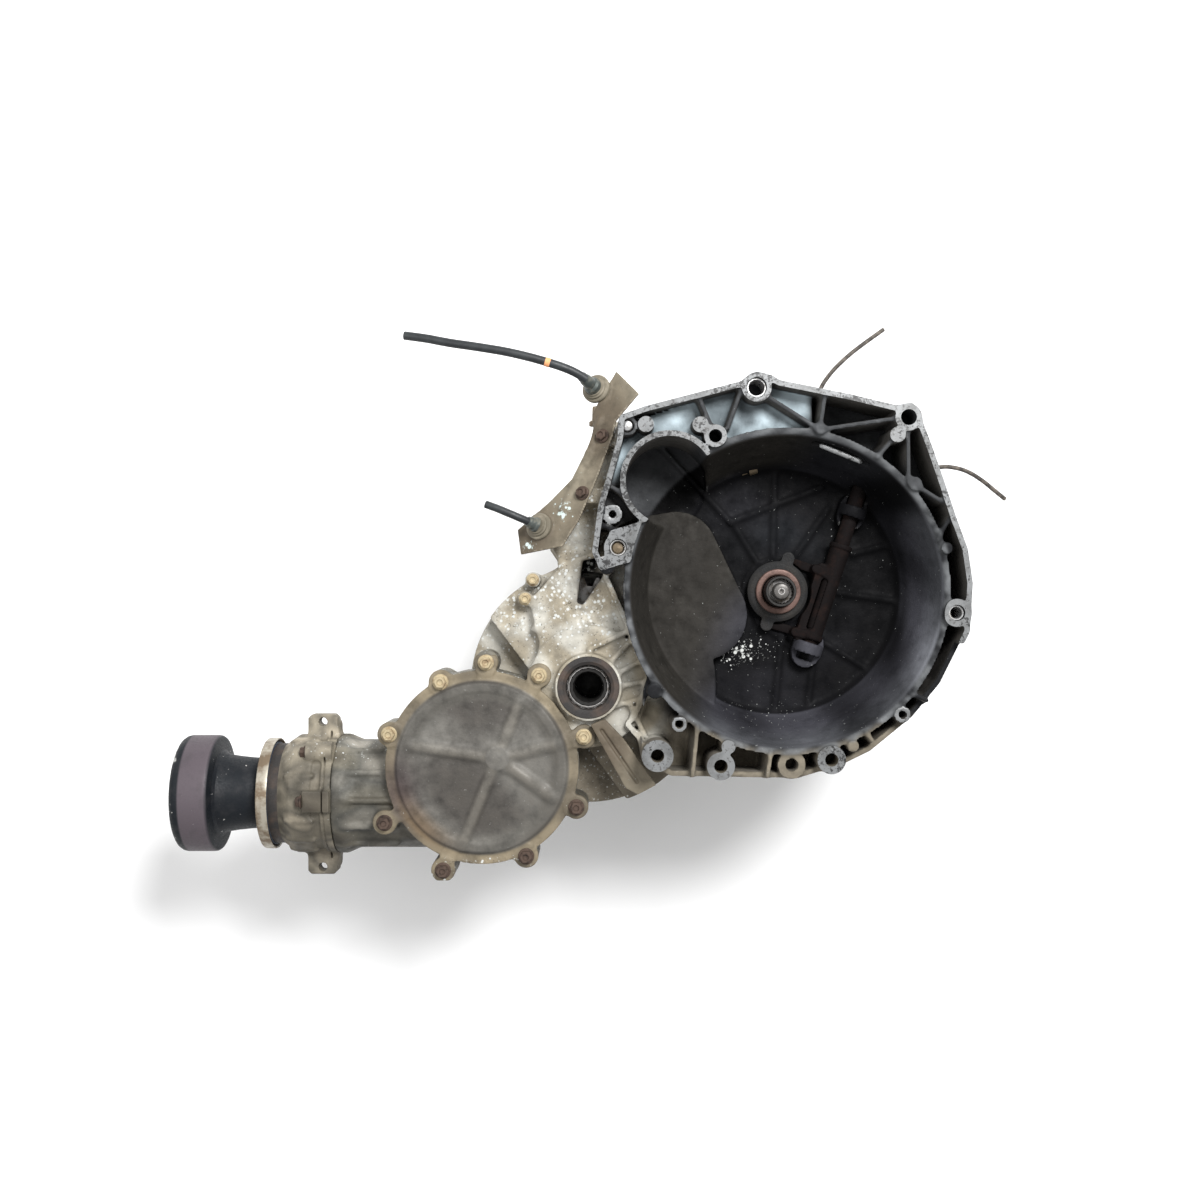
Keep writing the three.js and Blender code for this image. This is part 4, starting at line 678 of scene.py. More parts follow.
def trim(made, *cutters):
    """Crisp cuts by closed cutters that don't overlap, after which the cutters are gone."""
    for cutter in cutters:
        bpy.context.scene.collection.objects.link(cutter)
        cut = made.modifiers.new("cut", "BOOLEAN")
        cut.operation, cut.solver, cut.object = "DIFFERENCE", "MANIFOLD", cutter
    bpy.context.scene.collection.objects.link(made)
    bpy.context.view_layer.update()
    mesh = bpy.data.meshes.new_from_object(made.evaluated_get(bpy.context.evaluated_depsgraph_get()))
    made.modifiers.clear()
    made.data = mesh
    bpy.context.scene.collection.objects.unlink(made)
    for cutter in cutters:
        bpy.data.objects.remove(cutter)


def cylinders(name, discs, sides=40):
    """One mesh of upright closed cylinders, each [x, y, radius, low, high]."""
    points, faces = [], []
    turns = [2 * math.pi * k / sides for k in range(sides)]
    for x, y, radius, low, high in discs:
        first = len(points)
        points += [(x + radius * math.cos(turn), y + radius * math.sin(turn), z) for z in (low, high) for turn in turns]
        faces += (quad_strip(2, sides) + first).tolist()
        faces += [tuple(range(first + sides - 1, first - 1, -1)), tuple(range(first + sides, first + 2 * sides))]
    return mesh_object(name, points, faces)


def ramp(value, low, high):
    """A smooth step from 0 at low to 1 at high."""
    t = np.clip((value - low) / (high - low), 0, 1)
    return t * t * (3 - 2 * t)


def blend_colours(first, second, share):
    return np.asarray(first) * (1 - share[:, None]) + np.asarray(second) * share[:, None]


def hill(value, at, width):
    """A soft band, 1 where value equals at."""
    return np.exp(-((value - at) / width) ** 2)


def spot(x, y, at, size):
    """A soft oval patch, 1 at its middle."""
    return np.exp(-((x - at[0]) / size[0]) ** 2 - ((y - at[1]) / size[1]) ** 2)


def even(value):
    """Corrosion that is the same everywhere."""
    return lambda p, n: np.full(len(p), value)


def polar(centre, reach, degrees):
    return (centre[0] + reach * math.cos(math.radians(degrees)), centre[1] + reach * math.sin(math.radians(degrees)))


# ---------------------------------------------------------------- bell housing

BELL_OUTLINE = [
    (-171, 151), (-168, 176), (-143, 185), (-47, 210), (-31, 219), (-16, 216), (-8, 211), (62, 197), (108, 186),
    (124, 188), (133, 175), (146, 140), (158, 105), (169, 72), (180, 42), (185, 8), (182, -41), (156, -93),
    (128, -127), (85, -162), (56, -176), (13, -189), (-53, -188), (-116, -187), (-143, -174), (-150, -152),
    (-163, -138), (-150, -118), (-140, -88), (-158, -44), (-196, 39), (-190, 84),
]
# machined bosses of the mating face: x, y, boss radius, hole radius, top
MATING_BOSSES = [
    (-31, 204, 14.7, 10, 0), (-72.4, 155.3, 11.4, 6.7, 0), (-160.5, 165.8, 10, 6.7, -3), (-175.6, 77, 10, 3.5, -2),
    (-170, 43.5, 14, 8.7, 0), (121, 174, 13.3, 8, 0), (169.3, -21.8, 14, 8, 0), (-130.4, -165, 16, 6.7, 0),
    (-108.5, -133.5, 8, 4, -2), (-67, -175.4, 14, 6.8, 0), (5, -175, 14.3, 6.3, -8), (43.8, -169, 14.3, 6.6, 0),
    (115.2, -123.8, 8.4, 3.8, -2),
]
SOLID_PADS = [
    (-142, 167, 8), (-87.5, 166.7, 8), (110, 156.6, 7.7), (-59.4, -155.8, 7), (65.6, -155.4, 6), (32.7, 162.2, 6),
    (128, 107.5, 7), (159.7, 43, 6), (-181.3, 24.6, 8), (-133, -100, 8),
]
POCKET_RIBS = [
    ((-88, 193), (-77, 167)), ((-47, 200), (-60, 164)), ((32.7, 162), (-24, 198)), ((32.7, 162), (38, 198)),
    ((32.7, 162), (113, 174)), ((104, 150), (90, 134)), ((121, 163), (122, 109)), ((128, 107), (155, 90)),
    ((162, 72), (150, 50)), ((-175, 104), (-156, 90)), ((-186, 66), (-160, 57)), ((176, -30), (160, -28)),
    ((140, -110), (120, -100)), ((85, -150), (78, -140)), ((-20, -186), (-16, -160)), ((-95, -185), (-90, -135)),
]
FLOOR_RIBS = [
    ((-3.6, 36), (-1.3, 140)), ((16, 32), (55, 88)), ((-21, 32), (-44, 70)), ((-49, 74), (48, 111)),
    ((-49, 74), (-125, 156)), ((81, 40), (124, 51)), ((35, 3), (132, -11)), ((34, -44), (106, -88)),
    ((-20, -32), (18, -60)), ((7, -36), (-2.5, -132)), ((39, -78), (34, -118)),
]
DRIVESHAFT_RIBS = [
    ((-199, -60), (-150, -37)), ((-178, -74), (-150, -45)), ((-168, -84), (-142, -70)), ((-166, -98), (-136, -92)),
    ((-170, -118), (-130, -106)), ((-156, -120), (-142, -148)),
]
BRACKET_LUGS = [((-169, 158), (-186, 158)), ((-182, 98), (-206, 98))]
SHALLOW_FLOOR = [
    (-168, 148), (-166, 170), (-47, 205), (-31, 214), (-10, 207), (28, 200), (28, 140), (-110, 90), (-186, 60),
    (-186, 84),
]
LOW_SKIRT = [(200, -52), (200, -210), (-165, -210), (-165, -60)]
LOWER_SKIRT = [(-148, -210), (-210, -210), (-210, 22), (-140, 22)]
WING = [(-158, -40), (-196, 39), (-226, 30), (-262, -10), (-250, -60), (-215, -48)]
FLARE = [(-170, 150), (-188, 84), (-196, 39), (-226, 28), (-238, 46), (-216, 92), (-200, 128), (-188, 152)]
WING_BOLTS = [(-258, 12), (-266, -8)]
SUPPORT_BAR = [(-198, -137), (-183, -131), (-163, -152), (-130, -199), (-149, -209), (-162, -202)]
FORK_ROOM = (-112.0, 45.0)
DIFF_RADIUS, RING_ROOM, DRIVE_ROOM = 126.0, 119.0, 58.0
DRIVESHAFT_BOSS, BOSS_FACE = 35.5, -38.0
TRANSFER_ROOM, TRANSFER_RADIUS, TRANSFER_SEAT = 93.0, 98.5, -92.3
# the radius of the bell's mouth at its rim, and of its end at the floor
MOUTH, MOUTH_END = 157.0, 130.0
BOLT_ANGLES = [87.7, 115.7, 58, 160.3, 16.8, -22.7, -63.3, -110.6, -150.4]
BOLT_REACHES = [108.5, 98, 112, 101.5, 110.3, 106, 102.3, 113.4, 115.4]
COVER_BOLTS = [polar(TRANSFER, reach, degrees) for reach, degrees in zip(BOLT_REACHES, BOLT_ANGLES)]
TRANSFER_WAY = np.array([-0.799, -0.602]) / math.hypot(0.799, 0.602)
# how far the rough casting stands above the mating plane before it is milled
OVERSHOOT = 4.0
# the two cover bolts that hold in the bell
SHARED_BOLTS = (2, 4)
WINDOW_TURN = math.radians(68)
CASE_FLANGE = around([(INPUT, 88), (OUTPUT, 98), (FORK_ROOM, 60)])

BRACKET_POINT = (-210, 132, -46)
BRACKET_TILT = math.radians(28)
BRACKET_NORMAL = (-0.899 * math.sin(BRACKET_TILT), 0.438 * math.sin(BRACKET_TILT), math.cos(BRACKET_TILT))
RELEASE_ALONG = np.array([0.312, 0.95, 0.0])
RELEASE_ACROSS = np.array([0.95, -0.312, 0.0])
RELEASE_OFFSET, RELEASE_Z = 48.7, -78.0


def release_point(along, across=RELEASE_OFFSET, z=RELEASE_Z):
    """A point by its distances along and across the clutch cross shaft."""
    return RELEASE_ACROSS * across + RELEASE_ALONG * along + np.array([0, 0, z])


def toward_transfer(shift):
    """The half space on the transfer side of a line beside the driveshaft."""
    start = (DRIVESHAFT[0] + TRANSFER_WAY[0] * (shift + 40), DRIVESHAFT[1] + TRANSFER_WAY[1] * (shift + 40), 0)
    return plane(start, (-TRANSFER_WAY[0], -TRANSFER_WAY[1], 0))


def on_bracket(x, y, lift=0.0):
    """The point above a plan position that lies on the tilted bracket's middle plane, or lifted off it."""
    n = BRACKET_NORMAL
    z = BRACKET_POINT[2] - (n[0] * (x - BRACKET_POINT[0]) + n[1] * (y - BRACKET_POINT[1])) / n[2]
    return (x + n[0] * lift, y + n[1] * lift, z + n[2] * lift)


def release_boss(along, radius):
    start, end = release_point(along), release_point(along + 12)
    return [rod(start, end, radius), rib(start[:2], end[:2], 2 * radius, FLOOR_Z - 1, RELEASE_Z)]


def window_rib(reach, half_length, width, low, high):
    """A bar across the timing window in the bell's wall."""
    middle = np.array((math.cos(WINDOW_TURN), math.sin(WINDOW_TURN))) * reach
    side = np.array((-math.sin(WINDOW_TURN), math.cos(WINDOW_TURN))) * half_length
    return rib(middle - side, middle + side, width, low, high, 0)


def bell_casting():
    bell = Casting((-330, -228, -128), (190, 224, 7), 1.9)
    outer = prism(BELL_OUTLINE, -66, OVERSHOOT)
    pocket = prism(BELL_OUTLINE, -60, 12, grow=-5.5)
    bell.add(outer.less(pocket), blend=0)
    bell.cut(prism(LOW_SKIRT, -15, 12), prism(LOWER_SKIRT, -42, 12), blend=0)
    bell.add(prism(SHALLOW_FLOOR, -65, -24))
    bell.add(disc(INPUT, MOUTH_END + 8, FLOOR_Z - 7, RIM_Z, MOUTH + 8), blend=4)
    bell.add(disc(STARTER, STARTER_RADIUS, FLOOR_Z - 7, OVERSHOOT), blend=2)
    bell.add(*[disc((x, y), r, -65, OVERSHOOT if top == 0 else top) for x, y, r, _, top in MATING_BOSSES])
    bell.add(*[disc((x, y), r, -65, OVERSHOOT if i < 4 else -1.5) for i, (x, y, r) in enumerate(SOLID_PADS)])
    bell.add(prism([(-178, 60), (-146, 70), (-154, 43), (-156.5, 29), (-186, 22)], -16, OVERSHOOT))
    bell.add(*[rib(a, b, 4, -65, -3) for a, b in POCKET_RIBS], blend=4)
    under_bracket = plane(on_bracket(-210, 132, -2.4), BRACKET_NORMAL)
    bell.add(*[rib(a, b, 14, -66, 0).within(under_bracket) for a, b in BRACKET_LUGS])
    for route in (BREATHER_LEAD, SWITCH_LEAD):
        start, way = np.array(route[0]), np.subtract(route[1], route[0])
        way = way / np.linalg.norm(way)
        bell.add(rod(start - way * 25, start - way * 5, 6), rod(start - way * 6, start - way * 0.4, 4.6), blend=1)
    bell.add(prism(CASE_FLANGE, JOINT_Z, FLOOR_Z - 5))
    transfer_side = toward_transfer(0).within(plane((0, 0, TRANSFER_SEAT), (0, 0, -1)))
    bell.add(disc(DRIVESHAFT, DIFF_RADIUS, JOINT_Z, -70).less(transfer_side))
    bell.add(disc(OUTPUT, 46, JOINT_Z, -72), blend=5)
    bell.add(disc(DRIVESHAFT, DRIVE_ROOM + 5, -96, -50.3), blend=0)
    bell.add(disc(DRIVESHAFT, DRIVESHAFT_BOSS, -51, BOSS_FACE, DRIVESHAFT_BOSS - 1), blend=4)
    bell.add(*[disc(COVER_BOLTS[i], 12, -96, -50.3) for i in SHARED_BOLTS])
    bell.add(prism(WING, JOINT_Z, -56), blend=8)
    bell.add(*[rib(a, b, 4.5, -71, -45) for a, b in DRIVESHAFT_RIBS], blend=5)
    bell.add(prism(FLARE, -100, -60, 0, 0.1), blend=8)
    bell.add(*[disc(at, 8, -100, -57) for at in WING_BOLTS], blend=4)
    bell.add(ball_bar((-216, -27, -60), (-210, -38, -58), 8), ball_bar((-228, -14, -61), (-256, -40, -62), 4),
             ball_bar((-204, -16, -57), (-228, 30, -60), 4), blend=5)
    bell.cut(prism([(-206, 32), (-178, 38), (-186, 14), (-206, -14), (-212, -12)], -86, -20), blend=3)

    bulge = both(disc(DRIVESHAFT, DIFF_RADIUS + 8, FLOOR_Z - 1, -70), disc(OUTPUT, 48, FLOOR_Z - 1, -70),
                 prism(around([(OUTPUT, 48), ((-108, 40), 44), ((-190, 30), 40)]), FLOOR_Z - 1, -70))
    tub = both(disc(INPUT, MOUTH_END, FLOOR_Z, RIM_Z, MOUTH), disc(INPUT, MOUTH, RIM_Z - 0.5, 12),
               disc(STARTER, STARTER_RADIUS - 6, FLOOR_Z, 12))
    bell.cut(tub.less(bulge), blend=6)
    corner = spun(INPUT, [(110, FLOOR_Z - 2), (143, FLOOR_Z - 2), (143, FLOOR_Z + 26), (135, FLOOR_Z + 13),
                          (124, FLOOR_Z + 3)])
    bell.add(corner.less(disc(STARTER, STARTER_RADIUS - 6, FLOOR_Z - 9, 12)), blend=7)
    bell.add(*[rib(a, b, 3.6, FLOOR_Z - 1, -89.2, 0.2).less(bulge) for a, b in FLOOR_RIBS], blend=5)
    bell.add(disc(INPUT, 36, JOINT_Z + 2, -90), blend=4)
    bell.add(disc((-53.6, 127.5), 7, FLOOR_Z - 1, FLOOR_Z + 14))
    bell.add(*release_boss(-53, 15), *release_boss(98, 14), blend=4)
    bell.cut(prism(around([(INPUT, 82), (OUTPUT, 91), (FORK_ROOM, 54)]), JOINT_Z - 2, FLOOR_Z - 7))
    bell.cut(disc(DRIVESHAFT, RING_ROOM, JOINT_Z - 2, -97),
             disc(DRIVESHAFT, RING_ROOM, -98, -77).less(toward_transfer(-6)))
    bell.cut(disc(DRIVESHAFT, DRIVE_ROOM, -98, -58), disc(OUTPUT, 26.3, -103, -80), disc(OUTPUT, 38, -103, -97))
    bell.cut(disc(INPUT, 26.3, JOINT_Z - 2, -104), disc(INPUT, 14.5, JOINT_Z - 2, -89), disc(INPUT, 24.3, -95, -89),
             blend=0)
    bell.cut(disc(DRIVESHAFT, 30, -62, -45.5), disc(DRIVESHAFT, 26.3, -46, -37), blend=0)
    bell.cut(disc(TRANSFER, TRANSFER_ROOM, TRANSFER_SEAT, -57),
             *[disc(COVER_BOLTS[i], 4.6, -64, -49) for i in SHARED_BOLTS], blend=0)
    bell.cut(rod(release_point(-60), release_point(172), 9), blend=0)
    bell.cut(window_rib(152, 23, 16, -24, -16), blend=1)
    bell.cut(disc((-160.5, 165.8), 6.7, -40, -1), disc((-175.6, 77), 3.5, -40, 0), disc((5, -175), 6.3, -40, -6),
             disc((-108.5, -133.5), 4, -40, 0), disc((115.2, -123.8), 3.8, -40, 0), blend=0.6)
    made = bell.surface("bell")
    slab = cylinders("slab", [(-40, 0, 330, 0, 30)])
    full = [(x, y, hole, -40, 2) for x, y, _, hole, top in MATING_BOSSES if top == 0]
    trim(made, slab, cylinders("holes", full))
    x, y, z = (bell.low[i] + bell.pitch * g for i, g in enumerate(np.ogrid[tuple(slice(0, n) for n in bell.count)]))
    bell.field = np.maximum(bell.field, z + 0 * x + 0 * y).astype(np.float32)
    bell.paint(made, bell_tint, bell_salt)
    return made


def bell_tint(p, n):
    """Black inside the mouth with painted light and shade on its walls and floor, blue grey in the shallow pockets,
    pale tan on the gearbox side.
    """
    x, y, z = p.T
    reach = np.hypot(x, y)
    tint = blend_colours((0.008, 0.008, 0.0095), (0.014, 0.0145, 0.016), ramp(z, -60, -5))
    inside = 1 - ramp(reach, 156, 160)
    clouds = np.sin(x / 19 + 1.5 * np.sin(y / 23)) + np.sin(y / 15 + 1.2 * np.sin(x / 27) + z / 30)
    # painted light and shade inside the mouth: lighter towards the south and in a patch to the north, darker on the
    # east floor and the north west wall, lighter high on the east wall; the clouds add random tone
    shade_and_tone = 0.9 + 2.7 * ramp(-0.9 * y - 0.25 * x, -80, 80) + 3.2 * spot(x, y, (-20, 88), (45, 30))
    shade_and_tone = shade_and_tone * (0.4 + 1.4 * ramp(clouds, -1.7, 1.7))
    shade_and_tone = shade_and_tone * (1 - 0.85 * ramp(x, 25, 60) * ramp(y, -75, -30) * (1 - ramp(z, -89, -80)))
    shade_and_tone = shade_and_tone * (1 - 0.88 * ramp(-x, 50, 90) * ramp(y, 55, 95)) * (1 + 2.2 * ramp(x, 115, 135) * ramp(z, -80, -60))
    tint = tint * (1 + inside * (shade_and_tone - 1))[:, None]
    brown = inside * ramp(-x + 0.4 * y, 10, 70) * ramp(z, -88, -68)
    tint = blend_colours(tint, (0.026, 0.024, 0.021), brown)
    turn = np.degrees(np.arctan2(y, x))
    facets = inside * (1 - ramp(z, -89, -87)) * hill(reach, 62, 20) * hill(turn, 95, 55)
    tint = blend_colours(tint, (0.048, 0.054, 0.063), facets * (0.4 + 0.6 * ramp(clouds, -1, 1)))
    tint = blend_colours(tint, (0.055, 0.057, 0.06), (1 - inside) * ramp(y, 60, 100))
    shallow = ramp(n[:, 2], 0.3, 0.8) * ramp(y - 0.25 * x, 150, 168) * (1 - ramp(x, 20, 30))
    shallow = (shallow * ramp(z, -28, -23) * (1 - ramp(z, -20, -14)))[:, None]
    mottle = ramp(clouds + 0.7 * np.sin(x / 4.7) * np.sin(y / 5.3), -1.6, 1.8)[:, None]
    tint = tint * (1 - shallow) + np.array((0.42, 0.5, 0.54)) * (0.35 + mottle) * shallow
    bottom = (1 - ramp(y, -150, -120)) * ramp(reach, 158, 166)
    tint = blend_colours(tint, (0.2, 0.175, 0.135), bottom * 0.85)
    tan = outside_starter(x, y) * ramp(-x, 112, 134) * (1 - ramp(z, -34, -22)) * ramp(reach, 157, 163)
    tan = tan * (1 - ramp(y, 60, 110) * (1 - ramp(-x, 165, 178))) * ramp(y, -168, -150)
    lumps = ramp(np.sin(x / 7.1 + np.sin(y / 9.3)) + np.sin(y / 8.3 + 1.3 * np.sin(x / 12.7)), -1.2, 1.4)
    tint = blend_colours(tint, blend_colours((0.27, 0.24, 0.185), (0.42, 0.405, 0.36), lumps), tan)
    # painted shade: near black low down along the west wall of the pocket cut into the wing
    slot = hill((x + 205) * 0.86 + (y - 8) * -0.2, 0, 9)
    slot = slot * ramp(y, -20, -8) * (1 - ramp(y, 36, 44)) * (1 - ramp(z, -64, -58))
    tint = blend_colours(tint, (0.006, 0.006, 0.006), np.clip(slot * 1.5, 0, 1))
    outside = ramp(reach, 166, 180) * ramp(-n[:, 2], -0.5, 0.2) * (1 - tan)
    tint = blend_colours(tint, (0.15, 0.14, 0.125), outside * 0.8)
    rim = ramp(reach, 157, 159) * (1 - ramp(reach, 163, 167)) * ramp(z, -9, -6)
    patches = ramp(np.sin(x / 5 + np.sin(y / 3)) + 0.4 * np.sin(y / 7), -1.5, 1)
    tint = blend_colours(tint, (0.12, 0.125, 0.13), rim * patches * 0.85)
    crests = inside * ramp(z, FLOOR_Z + 1.5, FLOOR_Z + 4) * (1 - ramp(z, -86, -84)) * (1 - brown)
    return blend_colours(tint, (0.003, 0.003, 0.0035), crests * 0.9)


def outside_starter(x, y):
    return np.hypot(x - STARTER[0], y - STARTER[1]) >= STARTER_RADIUS - 3


def bell_salt(p, n):
    """White corrosion on the left wing and in two puddles on the floor."""
    x, y, z = p.T
    wing = outside_starter(x, y) * ramp(-x, 130, 160) * (1 - ramp(z, -34, -22))
    wing = wing * ramp(np.hypot(x, y), 158, 166) * ramp(n[:, 2], 0.1, 0.6)
    puddle = spot(x, y, (-36, -64), (30, 17)) * (z < -86) * 0.9
    floor_south = spot(x, y, (-10, -128), (60, 22)) * 0.25
    return np.clip(wing * (0.7 - 0.3 * ramp(-y, 30, 70)) + puddle + floor_south, 0, 1)


def mark_machined(made):
    """Gives the milled faces of the bell their own finishes: 1 on the rim, 2 on the tops of the bosses."""
    mesh = made.data
    x, y, z = ((read(mesh.polygons, "center") - np.array(ORIGIN)) / MM).T
    level = read(mesh.polygons, "normal")[:, 2] > 0.93
    milled = level & (np.abs(z) < 0.05)
    index = milled.astype(np.int32)
    for bx, by, radius, _, top in MATING_BOSSES:
        over = np.hypot(x - bx, y - by) < radius + 0.5
        index[over & milled] = 2
        if -8 < top < 0:
            index[over & level & (np.abs(z - top) < 0.5)] = 2
    mesh.polygons.foreach_set("material_index", index)
    mesh.update()


bell = bell_casting()
bell.data.materials.clear()
for look in (BELL_CAST, MACHINED, MACHINED_BOSS):
    bell.data.materials.append(look)
mark_machined(bell)
finish_piece(bell, "case", None, ("bell_housing",), 45)
for number, at in enumerate(WING_BOLTS, 1):
    hex_bolt(f"wing_bolt_{number}", (*at, -57.2), (0, 0, 1), 9, 6.6, YELLOW_ZINC)


# ---------------------------------------------------------------- gear case and end cover

CASE_TOP, CASE_END, BASE = JOINT_Z - 0.3, -315.0, -345.0
POSTS = [(-283.0, -30.0), (-228.0, -196.0)]
SELECTOR_X, SELECTOR_Z = -130.0, -168.0
SHAFT_ROOM = around([(INPUT, 62), (OUTPUT, 76), (FORK_ROOM, 48)])
NARROWING = -4 / 185
FLANGE_BOLTS = [polar(INPUT, 84, a) for a in (-75, -38, 0, 38, 76)]
FLANGE_BOLTS += [polar(DRIVESHAFT, 121, a) for a in (205, 245, 285)] + [polar(FORK_ROOM, 55, a) for a in (95, 140, 185)]


def spread_tint(colours, scale=31.0):
    """A tint that wanders between some colours over tens of millimetres."""
    def tint(p, n):
        x, y, z = (p / scale).T
        wander = np.sin(x * 1.3 + 2 * np.sin(y * 0.9)) + np.sin(y * 1.7 + 1.5 * np.sin(z * 1.1)) + np.sin(z * 1.9 + x)
        share = np.clip(wander / 4.5 + 0.5, 0, 1) * (len(colours) - 1)
        at = np.minimum(share.astype(int), len(colours) - 2)
        table = np.array(colours)
        return table[at] + (table[at + 1] - table[at]) * (share - at)[:, None]
    return tint


def lit_north(tint, gain):
    """The same tint with painted light: lighter on the side that faces up in the picture, towards the light."""
    return lambda p, n: tint(p, n) * (1 + gain * ramp(p[:, 1], -198, -168))[:, None]


def north_salt(least):
    """Corrosion that gathers on the same side, near the top."""
    return lambda p, n: least + 0.4 * ramp(p[:, 1], -195, -165) * ramp(p[:, 2], -130, -70)


def selector_rod(start, end, radius, end_radius=None):
    """A bar on the selector's axis between two values of y."""
    return rod((SELECTOR_X, start, SELECTOR_Z), (SELECTOR_X, end, SELECTOR_Z), radius, end_radius)


def case_casting():
    case = Casting((-330, -232, -348), (100, 152, -122), 2.7)
    case.add(prism(CASE_FLANGE, CASE_TOP - 11, CASE_TOP), blend=0)
    case.add(disc(DRIVESHAFT, DIFF_RADIUS, CASE_TOP - 11, CASE_TOP), blend=3)
    case.add(prism(SHAFT_ROOM, CASE_END, CASE_TOP - 5, grow=6, draft=NARROWING), blend=8)
    case.add(spun(DRIVESHAFT, [(0, CASE_TOP - 8), (112, CASE_TOP - 8), (104, -152), (64, -214), (0, -214)]), blend=9)
    case.add(disc(DRIVESHAFT, 42, -232, -210), blend=6)
    for post in POSTS:
        case.add(disc(post, 17, BASE, CASE_TOP - 4), rib(post, DRIVESHAFT, 8, -226, CASE_TOP - 4), blend=6)
        case.add(rib(post, DRIVESHAFT, 8, -300, -225).less(disc(DRIVESHAFT, 56, -310, -215)), blend=6)
    for degrees in (20, 50, 80, 250, 275, 300, 325):
        inner, outer = polar(INPUT, 50, degrees), polar(INPUT, 72, degrees)
        case.add(rib(inner, outer, 4.5, CASE_END + 12, CASE_TOP - 5, 0.01), blend=5)
    for degrees in (190, 220, 250, 280, 310):
        inner, outer = polar(DRIVESHAFT, 50, degrees), polar(DRIVESHAFT, 100, degrees)
        case.add(rib(inner, outer, 4.5, -206, CASE_TOP - 8), blend=6)
    case.add(*[disc(at, 8.5, CASE_TOP - 20, CASE_TOP) for at in FLANGE_BOLTS], blend=4)
    case.add(selector_rod(60, 104, 28), blend=6)
    case.add(disc(INPUT, 68, CASE_END, CASE_END + 10), disc(OUTPUT, 82, CASE_END, CASE_END + 10), blend=4)
    case.cut(prism(SHAFT_ROOM, CASE_END + 17, CASE_TOP + 3, draft=NARROWING), blend=3)
    case.cut(spun(DRIVESHAFT, [(0, CASE_TOP + 3), (119, CASE_TOP + 3), (106, CASE_TOP - 11), (98, -152), (58, -208),
                               (0, -208)]))
    case.cut(disc(DRIVESHAFT, 30.3, -225, -200), disc(DRIVESHAFT, 22, -236, -200), blend=0)
    case.cut(disc(INPUT, 24.3, CASE_END - 4, CASE_END + 18), disc(OUTPUT, 26.3, CASE_END - 4, CASE_END + 18), blend=0)
    case.cut(*[disc(post, 5.5, BASE - 4, BASE + 30) for post in POSTS], blend=0)
    case.cut(selector_rod(50, 108, 9), blend=0)
    made = case.surface("gearbox_case")
    case.paint(made, spread_tint([(0.33, 0.31, 0.26), (0.54, 0.54, 0.52), (0.46, 0.48, 0.49)], 13), even(0.45))
    return made


def end_casting():
    ring = around([(INPUT, 64), (OUTPUT, 78)])
    end = Casting((-168, -110, -348), (72, 72, -313), 2.0)
    end.add(prism(ring, -337, CASE_END - 0.3, draft=-0.18), blend=0)
    end.add(prism(ring, BASE, -336.5, grow=-4, draft=-0.9), blend=2)
    end.cut(prism(ring, -337, -312, grow=-7, draft=-0.15))
    walls = both(rib((-150, -36), (58, 6), 5, BASE - 1, -340), rib((-68, -90), (-92, 42), 5, BASE - 1, -340),
                 rib((-30, -70), (-20, 50), 5, BASE - 1, -340), disc(OUTPUT, 16, BASE - 1, -340))
    end.cut(prism(ring, BASE - 3, -342.2, grow=-24).less(walls), blend=2)
    made = end.surface("gearbox_end")
    end.paint(made, spread_tint([(0.25, 0.23, 0.2), (0.4, 0.37, 0.31)]), even(0.3))
    return made


for build, replaced in ((case_casting, "gear_case"), (end_casting, "end_cover")):
    finish_piece(build(), "case", CASE_CAST, (replaced,), 50)
for number, at in enumerate(FLANGE_BOLTS, 1):
    hex_bolt(f"case_bolt_{number}", (*at, CASE_TOP - 20.2), (0, 0, -1), 10, 7.2, DARK_BOLT)

# ---------------------------------------------------------------- transfer drive

COVER_Z = -50.0
HUB = (TRANSFER[0] + 16.5, TRANSFER[1] + 10)
COVER_ARMS = [(39, 68), (-74, 23), (-20, -79), (74, -32), (79, 24)]
CARRIER_X, CARRIER_END = -469.0, -528.0
CARRIER_BOLT_ANGLES = (0, 42, 90, 180, 222, 270)


def outer_bolts(bolts):
    return [at for at in bolts if math.dist(at, TRANSFER) > TRANSFER_RADIUS + 9]


